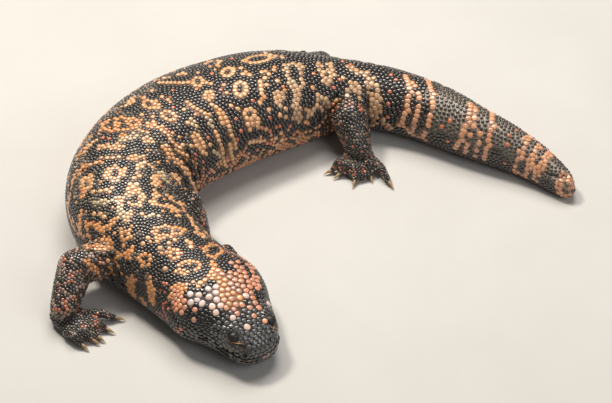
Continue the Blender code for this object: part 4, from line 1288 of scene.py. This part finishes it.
# A smooth mesh from points and faces of several widths, with its colours and its bake map.
def makeSurface(name, points, faceSets, tint, mapped=None):
    mesh = bpy.data.meshes.new(name)
    mesh.vertices.add(len(points))
    mesh.vertices.foreach_set("co", points.astype(np.float32).ravel())
    corners = np.concatenate([faces.ravel() for faces in faceSets])
    sizes = np.concatenate([np.full(len(faces), faces.shape[1]) for faces in faceSets])
    mesh.loops.add(len(corners))
    mesh.loops.foreach_set("vertex_index", corners.astype(np.int32))
    mesh.polygons.add(len(sizes))
    mesh.polygons.foreach_set("loop_start", np.concatenate([[0], np.cumsum(sizes)[:-1]]).astype(np.int32))
    smoothShade(mesh)
    mesh.update(calc_edges=True)
    setTint(mesh, tint)
    if mapped is not None:
        layer = mesh.uv_layers.new(name="OFBake")
        layer.data.foreach_set("uv", mapped.astype(np.float32).ravel())
    piece = bpy.data.objects.new(name, mesh)
    bpy.context.scene.collection.objects.link(piece)
    return piece


def setTint(mesh, tint):
    layer = mesh.color_attributes.new("tint", "FLOAT_COLOR", "POINT")
    layer.data.foreach_set("color", np.column_stack([tint, np.ones(len(tint))]).astype(np.float32).ravel())


# The bake map: the body's strip, the legs' side by side above it, and the toes' over each other in those
bakeMap = dict(
    margin=0.01, bodyLong=0.98, bodyMiddle=0.33, bodyHalf=0.32,
    legFrom=0.68, legTall=0.30, legApart=0.245, legLong=0.095, toeTall=0.06, toeFull=0.98,
)


# Where each scale lies on the unwrapped skin.
def mapPlaces(places):
    grid = bakeMap
    turn = places.turn / (2 * math.pi)
    bodyMap = np.column_stack([
        grid["margin"] + places.back / body["length"] * grid["bodyLong"],
        grid["bodyMiddle"] + places.share * grid["bodyHalf"]])
    down = np.clip(places.along / grid["legLong"], 0, 1)
    legMap = np.column_stack([
        grid["margin"] + (places.leg + down) * grid["legApart"],
        grid["legFrom"] + grid["legTall"] * (turn + 0.5)])
    strip = grid["legFrom"] + grid["toeTall"] * (places.part - 3 + turn + 0.5) * grid["toeFull"]
    legMap[:, 1] = np.where(places.part > 2, strip, legMap[:, 1])
    return np.where((places.leg >= 0)[:, None], legMap, bodyMap)


# Each scale is a low dome, cut to the room its neighbours leave it
dome = dict(
    # neighbours that cut it, the least room they leave, how far it spreads where none is near, and how much
    # lighter its top point is painted, as a painted highlight
    near=10, leastRoom=0.4, open=0.64, topLight=1.06,
    # its patch on the bake map, and the size and shift of its underside there
    sides=10, patch=0.003, underSize=0.12, underShift=0.48,
    # size, height, share of the groove's colour, and size on the bake map
    rings=((1.0, 0.0, 0.55, 1.0), (0.95, 0.42, 0.14, 0.78), (0.78, 0.78, 0.0, 0.55), (0.44, 0.96, 0.0, 0.3)),
)


# All the scales, as points and colours of n x rings x sides.
def makeScales(places, wide, tall, fill, colour, groove):
    count, sides = len(places.points), dome["sides"]
    near = neighbours(places.points, dome["near"])
    along = places.ahead()
    across = np.cross(places.normals, along)
    away = places.points[near] - places.points[:, None]
    flat = np.stack([(away * along[:, None]).sum(axis=2), (away * across[:, None]).sum(axis=2)], axis=2)
    distance = (flat ** 2).sum(axis=2)
    room = distance + (wide ** 2)[:, None] / 4 - (wide ** 2)[near] / 4
    room = np.maximum(room, distance * dome["leastRoom"])
    turn = np.arange(sides) / sides * 2 * math.pi + math.pi / sides
    spokes = np.column_stack([np.cos(turn), np.sin(turn)])
    press = np.clip(np.einsum("nkc,sc->nks", flat, spokes), 0, None) * 2 / room[:, :, None]
    alone = (1 / (wide * dome["open"]))[:, None] ** coat["corners"]
    press = (press ** coat["corners"]).sum(axis=1) + alone
    reach = fill[:, None] * press ** (-1 / coat["corners"])
    rows, tints = [], []
    for size, height, mix, _ in dome["rings"]:
        spread = reach[:, :, None] * size
        plan = spread * (along[:, None] * spokes[None, :, :1] + across[:, None] * spokes[None, :, 1:])
        lift = (tall * height)[:, None] if height else np.full((count, 1), -coat["sunk"])
        rows.append(places.points[:, None] + plan + places.normals[:, None] * lift[:, :, None])
        ring = colour * (1 - mix) + groove * mix
        tints.append(np.repeat(ring[:, None], sides, axis=1))
    points = np.concatenate(rows, axis=1)
    tint = np.concatenate(tints, axis=1)
    top = places.points + places.normals * tall[:, None]
    points = np.concatenate([points, top[:, None]], axis=1)
    # the top point of each scale is painted lighter than the rest: a painted highlight
    tint = np.concatenate([tint, (colour * dome["topLight"])[:, None]], axis=1)
    points[:, :, 2] = np.maximum(points[:, :, 2], leastUp)
    return points, tint


# One joined mesh of the chosen scales.
def scalePiece(name, chosen, points, tint, spots):
    sides, rings = dome["sides"], len(dome["rings"])
    each = sides * rings + 1
    chosen = np.flatnonzero(chosen)
    start = np.arange(len(chosen))[:, None] * each
    j = np.arange(sides)
    k = (j + 1) % sides
    quads = [np.stack([r * sides + j, r * sides + k, (r + 1) * sides + k, (r + 1) * sides + j], axis=1)
             for r in range(rings - 1)]
    quads = (start[:, :, None] + np.concatenate(quads)[None]).reshape(-1, 4)
    last = (rings - 1) * sides
    caps = np.stack([last + j, last + k, np.full(sides, each - 1)], axis=1)
    caps = (start[:, :, None] + caps[None]).reshape(-1, 3)
    floors = (start + j[::-1][None]).reshape(-1, sides)
    # the patch of each scale on the bake map, with its underside beside it
    turn = np.arange(sides) / sides * 2 * math.pi
    circle = np.column_stack([np.cos(turn), np.sin(turn)]) * dome["patch"] / 2
    flat = np.concatenate([circle * size for _, _, _, size in dome["rings"]] + [np.zeros((1, 2))])
    patch = (spots[chosen][:, None] + flat[None]).reshape(-1, 2)
    under = spots[chosen][:, None] + circle[::-1][None] * dome["underSize"]
    under = under + dome["patch"] * dome["underShift"]
    mapped = np.concatenate([patch[quads.ravel()], patch[caps.ravel()], under.reshape(-1, 2)])
    faces = [quads, caps, floors]
    return makeSurface(name, points[chosen].reshape(-1, 3), faces, tint[chosen].reshape(-1, 3), mapped)


# Shader maths as plain sums: a Wire stands for a socket
class Wire:
    def __init__(self, finish, socket):
        self.finish, self.socket = finish, socket

    def __add__(self, other):
        return self.finish.node("Math", dict(operation="ADD"), {0: self, 1: other})

    def __mul__(self, other):
        return self.finish.node("Math", dict(operation="MULTIPLY"), {0: self, 1: other})

    __radd__, __rmul__ = __add__, __mul__


# A material and the ways to add its nodes.
class Finish:
    def __init__(self, name):
        self.material = bpy.data.materials.new(name)
        self.material.use_nodes = True
        self.tree = self.material.node_tree
        self.tree.nodes.clear()

    def node(self, kind, settings=None, inputs=None, output=0):
        made = self.tree.nodes.new("ShaderNode" + kind)
        for key, value in (settings or {}).items():
            if key == "stops":
                ramp = made.color_ramp
                while len(ramp.elements) < len(value):
                    ramp.elements.new(0.5)
                for stop, (place, colour) in zip(ramp.elements, value):
                    stop.position, stop.color = place, (*colour, 1)
            else:
                setattr(made, key, value)
        for key, value in (inputs or {}).items():
            if isinstance(value, Wire):
                self.tree.links.new(value.socket, made.inputs[key])
            else:
                made.inputs[key].default_value = value
        return Wire(self, made.outputs[output])

    def blend(self, share, a, b, how="MIX"):
        return self.node("Mix", dict(data_type="RGBA", blend_type=how), {0: share, 6: a, 7: b}, output=2)

    def grain(self, place, scale, detail=3.0):
        inputs = {"Vector": place, "Scale": scale, "Detail": detail, "Roughness": 0.6}
        return self.node("TexNoise", None, inputs)

    def surface(self, **inputs):
        inputs = {key.replace("_", " "): value for key, value in inputs.items()}
        shader = self.node("BsdfPrincipled", None, inputs)
        out = self.tree.nodes.new("ShaderNodeOutputMaterial")
        self.tree.links.new(shader.socket, out.inputs["Surface"])
        return self.material


# The coat's finish: its painted colour, dust and wear in grain with a warm tint that is painted warm light,
# and a wet gloss.
def skinFinish(name, rough, shine, depth, mirror):
    finish = Finish(name)
    place = finish.node("TexCoord", output=3)
    tint = finish.node("Attribute", dict(attribute_name="tint"))
    broad = finish.grain(place, 90.0)
    fine = finish.grain(place, 1400.0, 4.0)
    # broad grain for dust; the warm offsets of the channels are painted warm light
    dustAndWarmLight = {"Red": broad * 0.5 + 0.80, "Green": broad * 0.46 + 0.77, "Blue": broad * 0.40 + 0.73}
    grey = finish.node("CombineColor", None, dustAndWarmLight)
    colour = finish.blend(1.0, tint, grey, "MULTIPLY")
    bump = finish.node("Bump", None, {"Strength": depth, "Distance": 0.0002, "Height": fine})
    return finish.surface(
        Base_Color=colour, Roughness=fine * 0.22 + (rough - 0.11), Normal=bump,
        Coat_Weight=shine, Coat_Roughness=0.13, Coat_IOR=1.6, Specular_IOR_Level=mirror)


def eyeFinish():
    finish = Finish("wetEye")
    place = finish.node("TexCoord", output=3)
    grain = finish.grain(place, 700.0, 3.0)
    stops = ((0.35, (0.006, 0.005, 0.005)), (0.75, (0.035, 0.020, 0.012)))
    colour = finish.node("ValToRGB", dict(stops=stops), {"Fac": grain})
    return finish.surface(
        Base_Color=colour, Roughness=0.06 + grain * 0.04, Coat_Weight=1.0, Coat_Roughness=0.03, IOR=1.4)


def clawFinish():
    finish = Finish("horn")
    place = finish.node("TexCoord", output=3)
    tint = finish.node("Attribute", dict(attribute_name="tint"))
    streak = finish.grain(place, 900.0, 3.0)
    horn = {"Red": streak * 0.5 + 0.72, "Green": streak * 0.55 + 0.68, "Blue": streak * 0.6 + 0.62}
    shade = finish.node("CombineColor", None, horn)
    bump = finish.node("Bump", None, {"Strength": 0.25, "Distance": 0.0002, "Height": streak})
    return finish.surface(
        Base_Color=finish.blend(1.0, tint, shade, "MULTIPLY"), Roughness=streak * 0.2 + 0.3,
        Normal=bump, Coat_Weight=0.25, Coat_Roughness=0.2)


def floorFinish():
    finish = Finish("paleFloor")
    place = finish.node("TexCoord", output=3)
    cloud = finish.grain(place, 7.0, 5.0)
    stops = ((0.3, (0.56, 0.54, 0.51)), (0.7, (0.61, 0.59, 0.56)))
    colour = finish.node("ValToRGB", dict(stops=stops), {"Fac": cloud})
    return finish.surface(Base_Color=colour, Roughness=0.75)


skin = joinedSkin()
carveHead(skin)
foldSkin(skin)
print("skin:", len(skin.data.vertices), "points,", len(skin.data.polygons), "faces")

skinTree = treeOf(skin.data)
lines, picked, darkHoles = readMarks(skinTree)
pathsOfLids = lidPaths(skinTree)
scalePoints, scaleNormals, wide = seedScales(skin, skinTree, [(spot, size) for _, size, spot in picked])
places = Places(scalePoints, scaleNormals)
colour, groove, tone = colourScales(places, picked)
tall = places.height(wide, np.isin(tone, paleTones))
fill = np.full(len(wide), coat["fill"])
fill[tone == toneNames.index("grey")] = coat["greyFill"]
fill[tone == toneNames.index("smoke")] = coat["smokeFill"]
fill[np.isin(tone, paleTones)] = coat["paleFill"]
# the scales of a pale patch on the neck, the loin and the tail run together
mergedNames = ("peach", "orange", "fawn", "cream", "tan", "blush")
merged = np.isin(tone, [toneNames.index(name) for name in mergedNames])
neckFrom, neckTo = coat["mergedNeck"]
merged &= ((places.back > neckFrom) & (places.back < neckTo)) | (places.back > coat["mergedLoin"])
merged &= places.leg < 0
tall = tall * np.where(merged, coat["mergedRise"], 1.0)
fill = fill + np.where(merged, coat["mergedFill"], 0.0)
scalePlaces, scaleTint = makeScales(places, wide, tall, fill, colour, groove)
print("scales:", len(scalePoints), "from", len(picked), "picked ones")

coatFinish = skinFinish("glossyBeads", 0.40, 1.0, 0.12, 0.45)
spots = mapPlaces(places)
onBody = places.leg < 0
# The coat's pieces, head to tail, and how far back each one ends
groups, begin = {}, 0
for name, end in dict(head=0.060, neck=0.110, chest=0.175, belly=0.245, loin=0.342, tail=1.0).items():
    groups[name + "Scales"] = onBody & (places.back >= begin) & (places.back < end)
    begin = end
for number, name in enumerate(legs):
    groups[name + "Scales"] = places.leg == number
flesh = ["head", "jaw", "neck", "chest", "belly", "loin", "tail_base", "tail_middle", "tail_tip"]
for part in ("upper_arm", "forearm", "hand", "thigh", "shank", "foot"):
    flesh += [part + "_left", part + "_right"]
for name, chosen in groups.items():
    piece = scalePiece(name, chosen, scalePlaces, scaleTint, spots)
    piece.data.materials.append(coatFinish)
    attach(piece, "root")

# the skin takes the colour of the grooves round its nearest scales
bareSkin = dict(scales=3, mouth=0.0007, mouthShade=0.5, nostril=0.0012, ear=0.0018, holeShade=0.35)
nearScale = kdTreeOf(scalePoints)
skinPoints = meshPoints(skin.data)
nearest = np.array([[j for _, j, _ in nearScale.find_n(point, bareSkin["scales"])] for point in skinPoints])
skinTint = groove[nearest].mean(axis=1)
skinPlaces = Places(skinPoints, meshNormals(skin.data))
inMouth = (np.abs(skinPlaces.lipGap) < bareSkin["mouth"]) & (skinPlaces.skull < mouth["end"])
inHole = (skinPlaces.nostrilAway < bareSkin["nostril"]) | (skinPlaces.earAway < bareSkin["ear"])
# painted shade: the skin in the mouth's slit and inside the nostrils and ears is painted darker
skinTint[inMouth & (skinPlaces.leg < 0)] = paint("dark") * bareSkin["mouthShade"]
skinTint[inHole] = paint("dark") * bareSkin["holeShade"]
setTint(skin.data, skinTint)
smoothShade(skin.data)
skin.data.materials.append(skinFinish("softSkin", 0.52, 0.1, 0.3, 0.5))
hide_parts(*flesh)
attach(skin, "root")
print("coat painted")


# A wet globe in each socket, with its clear front swelling a little.
def addEyes():
    for side, name in ((1, "left"), (-1, "right")):
        deselect()
        middle = headPlace(eye, side)
        bpy.ops.mesh.primitive_uv_sphere_add(
            segments=40, ring_count=24, radius=eye["radius"], location=(0, 0, 0))
        globe = bpy.context.active_object
        globe.name = "globe_" + name
        out = np.array(headWay(side, eye["out"]))
        points = meshPoints(globe.data)
        front = np.clip(points @ out / eye["radius"], 0, 1)
        setPoints(globe.data, points * (1 + eye["swell"] * front ** eye["swellPower"])[:, None] + middle)
        smoothShade(globe.data)
        globe.data.materials.append(eyeFinish())
        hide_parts("eye_" + name)
        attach(globe, "root")


lid = dict(
    # degrees: half the slit at its middle, each lid's reach, the corners, and how far the eye looks down
    open=7, upper=118, lower=82, corner=84, drop=20,
    lift=0.00010, thick=0.00036, rim=0.5, rimWide=0.13, columns=56, rows=24,
    wrinkle=0.00006, wrinkles=44, slant=2, crease=0.00010, creases=40, creasesAcross=26,
    # the lower lid's pale edge
    pale=1.5, paleFade=8,
)


# Lids that close over most of the globe: the upper dark, the lower with the tan edge of the photograph.
def addLids():
    for side, name in ((1, "left"), (-1, "right")):
        middle = headPlace(eye, side)
        out = np.array(headWay(side, eye["out"]))
        _, _, ahead = spineAt(np.array([0.0]))
        along = np.array([*(-ahead[0]), 0.0])
        along -= out * (along @ out)
        along /= np.linalg.norm(along)
        up = np.cross(out, along)
        up *= np.sign(up[2])
        across = np.linspace(-1, 1, lid["columns"])
        share = np.linspace(0, 1, lid["rows"])
        for half, which in ((1, "upper"), (-1, "lower")):
            edge = lid["open"] * (1 - across ** 2)[:, None]
            lift = np.radians(half * (edge + (lid[which] - edge) * share) - lid["drop"])
            swing = np.radians(lid["corner"] * across)[:, None]
            way = (np.cos(lift) * np.cos(swing))[..., None] * out
            way = way + np.sin(swing)[..., None] * along + (np.sin(lift) * np.cos(swing))[..., None] * up
            inner = eye["radius"] * eye["clear"] + lid["lift"]
            rim = hump(share, lid["rimWide"])
            wrinkle = lid["wrinkle"] * np.sin(share * lid["wrinkles"] + lid["slant"] * across[:, None])
            crease = lid["crease"] * np.sin(share * lid["creases"])
            wrinkle = wrinkle + crease * np.sin(across * lid["creasesAcross"])[:, None]
            outer = inner + lid["thick"] * (1 + lid["rim"] * rim) + wrinkle
            surface = [middle + way * outer[:, :, None], middle + way[:, ::-1] * inner]
            surface = np.concatenate(surface, axis=1)
            count = 2 * lid["rows"]
            j = np.arange(count)
            k = (j + 1) % count
            here = np.arange(lid["columns"] - 1)[:, None] * count
            quads = np.stack([here + j, here + k, here + count + k, here + count + j], axis=2).reshape(-1, 4)
            ends = np.stack([j[::-1], j + (lid["columns"] - 1) * count])
            pale = np.zeros(lid["rows"])
            if which == "lower":
                pale = np.clip(lid["pale"] - share * lid["paleFade"], 0, 1)
            tint = paint("black") * (1 - pale[:, None]) + paint("tan") * pale[:, None]
            tint = np.tile(np.concatenate([tint, tint[::-1]]), (lid["columns"], 1))
            piece = makeSurface(f"{which}_lid_{name}", surface.reshape(-1, 3), [quads, ends], tint)
            outwardFaces(piece)
            piece.data.materials.append(lidFinish)
            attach(piece, "root")


# The thin pale lines of bare skin under each eye.
def addLidLines():
    for side, name in ((1, "left"), (-1, "right")):
        heap, tints = Heap(), []
        for lineSide, tone, line in pathsOfLids:
            if lineSide != side:
                continue
            widths = lidLine["width"] * np.interp(np.linspace(0, 1, len(line)), *np.array(lidLine["taper"]).T)
            ring, first, last = tubeRows(line, widths, widths, lidLine["sides"], step=lidLine["step"])
            heap.addRows(ring, first, last)
            tints += [np.tile(paint(tone), (len(ring) * lidLine["sides"] + 2, 1))]
        piece = heap.build("lid_lines_" + name)
        outwardFaces(piece)
        setTint(piece.data, np.vstack(tints))
        smoothShade(piece.data)
        piece.data.materials.append(lidFinish)
        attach(piece, "root")


def outwardFaces(piece):
    shape = bmesh.new()
    shape.from_mesh(piece.data)
    bmesh.ops.recalc_face_normals(shape, faces=shape.faces)
    shape.to_mesh(piece.data)
    shape.free()


claw = dict(
    length=0.0062, radius=0.00135, taper=(1.0, 0.96, 0.86, 0.70, 0.48, 0.22, 0.04), hump=0.0007, tip=0.0005,
    root=0.0016, stations=13, droop=2.2, deep=1.15, sides=12, step=0.0004,
    rootColour=(0.10, 0.06, 0.035), tipColour=(0.62, 0.42, 0.19),
)


# Curved horn claws, five to a foot, dark at the root and yellow to the point.
def addClaws():
    names = dict(frontLeft="hand_left", frontRight="hand_right", hindLeft="foot_left", hindRight="foot_right")
    for leg, foot in names.items():
        heap, tints = Heap(), []
        for k in range(5):
            shape = legParts[leg][f"toe{k + 1}"]
            start, way = np.array(shape["path"][2]), shape["way"]
            size = legs[leg]["size"]
            steps = np.linspace(0, 1, claw["stations"])
            along = -claw["root"] + steps * (claw["length"] * size + claw["root"])
            droop = steps ** claw["droop"]
            up = start[2] * (1 - droop) + claw["tip"] * droop + claw["hump"] * np.sin(steps * math.pi)
            path = np.column_stack([start[:2] + way[:2] * along[:, None], up])
            taper = np.interp(steps, np.linspace(0, 1, len(claw["taper"])), claw["taper"])
            radii = claw["radius"] * size * taper
            ring, first, last = tubeRows(
                path, radii, radii * claw["deep"], claw["sides"], step=claw["step"], roundEnds=(False, False))
            ring[:, :, 2] = np.maximum(ring[:, :, 2], leastUp)
            heap.addRows(ring, first, last)
            shade = np.linspace(0, 1, len(ring))[:, None]
            horn = np.array(claw["rootColour"]) * (1 - shade) + np.array(claw["tipColour"]) * shade
            tints += [horn[:1], horn[-1:], np.repeat(horn, claw["sides"], axis=0)]
        piece = heap.build("claws_" + foot)
        outwardFaces(piece)
        setTint(piece.data, np.vstack(tints))
        smoothShade(piece.data)
        piece.data.materials.append(hornFinish)
        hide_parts(*[f"{foot}_claw_{k}" for k in range(1, 6)])
        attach(piece, "root")


lidFinish = skinFinish("lidSkin", 0.50, 0.3, 0.6, 0.4)
addEyes()
addLids()
addLidLines()
hornFinish = clawFinish()
addClaws()
print("eyes, lids and claws in place")

# Floor, light and camera
deselect()
bpy.ops.mesh.primitive_plane_add(size=6, location=(0, 0, 0))
floor = bpy.context.active_object
floor.name = "floor"
floor.data.materials.append(floorFinish())


def softLight(name, place, size, power, colour):
    lamp = bpy.data.lights.new(name, "AREA")
    lamp.shape, lamp.size, lamp.energy, lamp.color = "DISK", size, power, colour
    holder = bpy.data.objects.new(name, lamp)
    holder.location = place
    holder.rotation_euler = Vector(place).to_track_quat("Z", "Y").to_euler()
    bpy.context.scene.collection.objects.link(holder)


softLight("keyLight", (-0.55, 0.50, 1.25), 0.28, 15, (1.0, 0.94, 0.85))
softLight("topLight", (0.05, 0.55, 1.25), 0.8, 14, (1.0, 0.97, 0.92))
softLight("fillLight", (0.9, -0.8, 1.1), 1.0, 6, (0.97, 0.98, 1.0))
world = bpy.data.worlds.new("studio")
world.use_nodes = True
world.node_tree.nodes["Background"].inputs["Color"].default_value = (0.86, 0.85, 0.83, 1)
world.node_tree.nodes["Background"].inputs["Strength"].default_value = 0.13
bpy.context.scene.view_settings.view_transform = "Standard"
bpy.context.scene.world = world

lens = bpy.data.cameras.new("camera")
lens.sensor_width = 36
lens.lens = 36 * photo["distance"] / photo["span"]
camera = bpy.data.objects.new("camera", lens)
camera.location = cameraPlace
camera.rotation_euler = (math.pi / 2 - tilt, 0, 0)
bpy.context.scene.collection.objects.link(camera)
bpy.context.scene.camera = camera

print("scene complete")
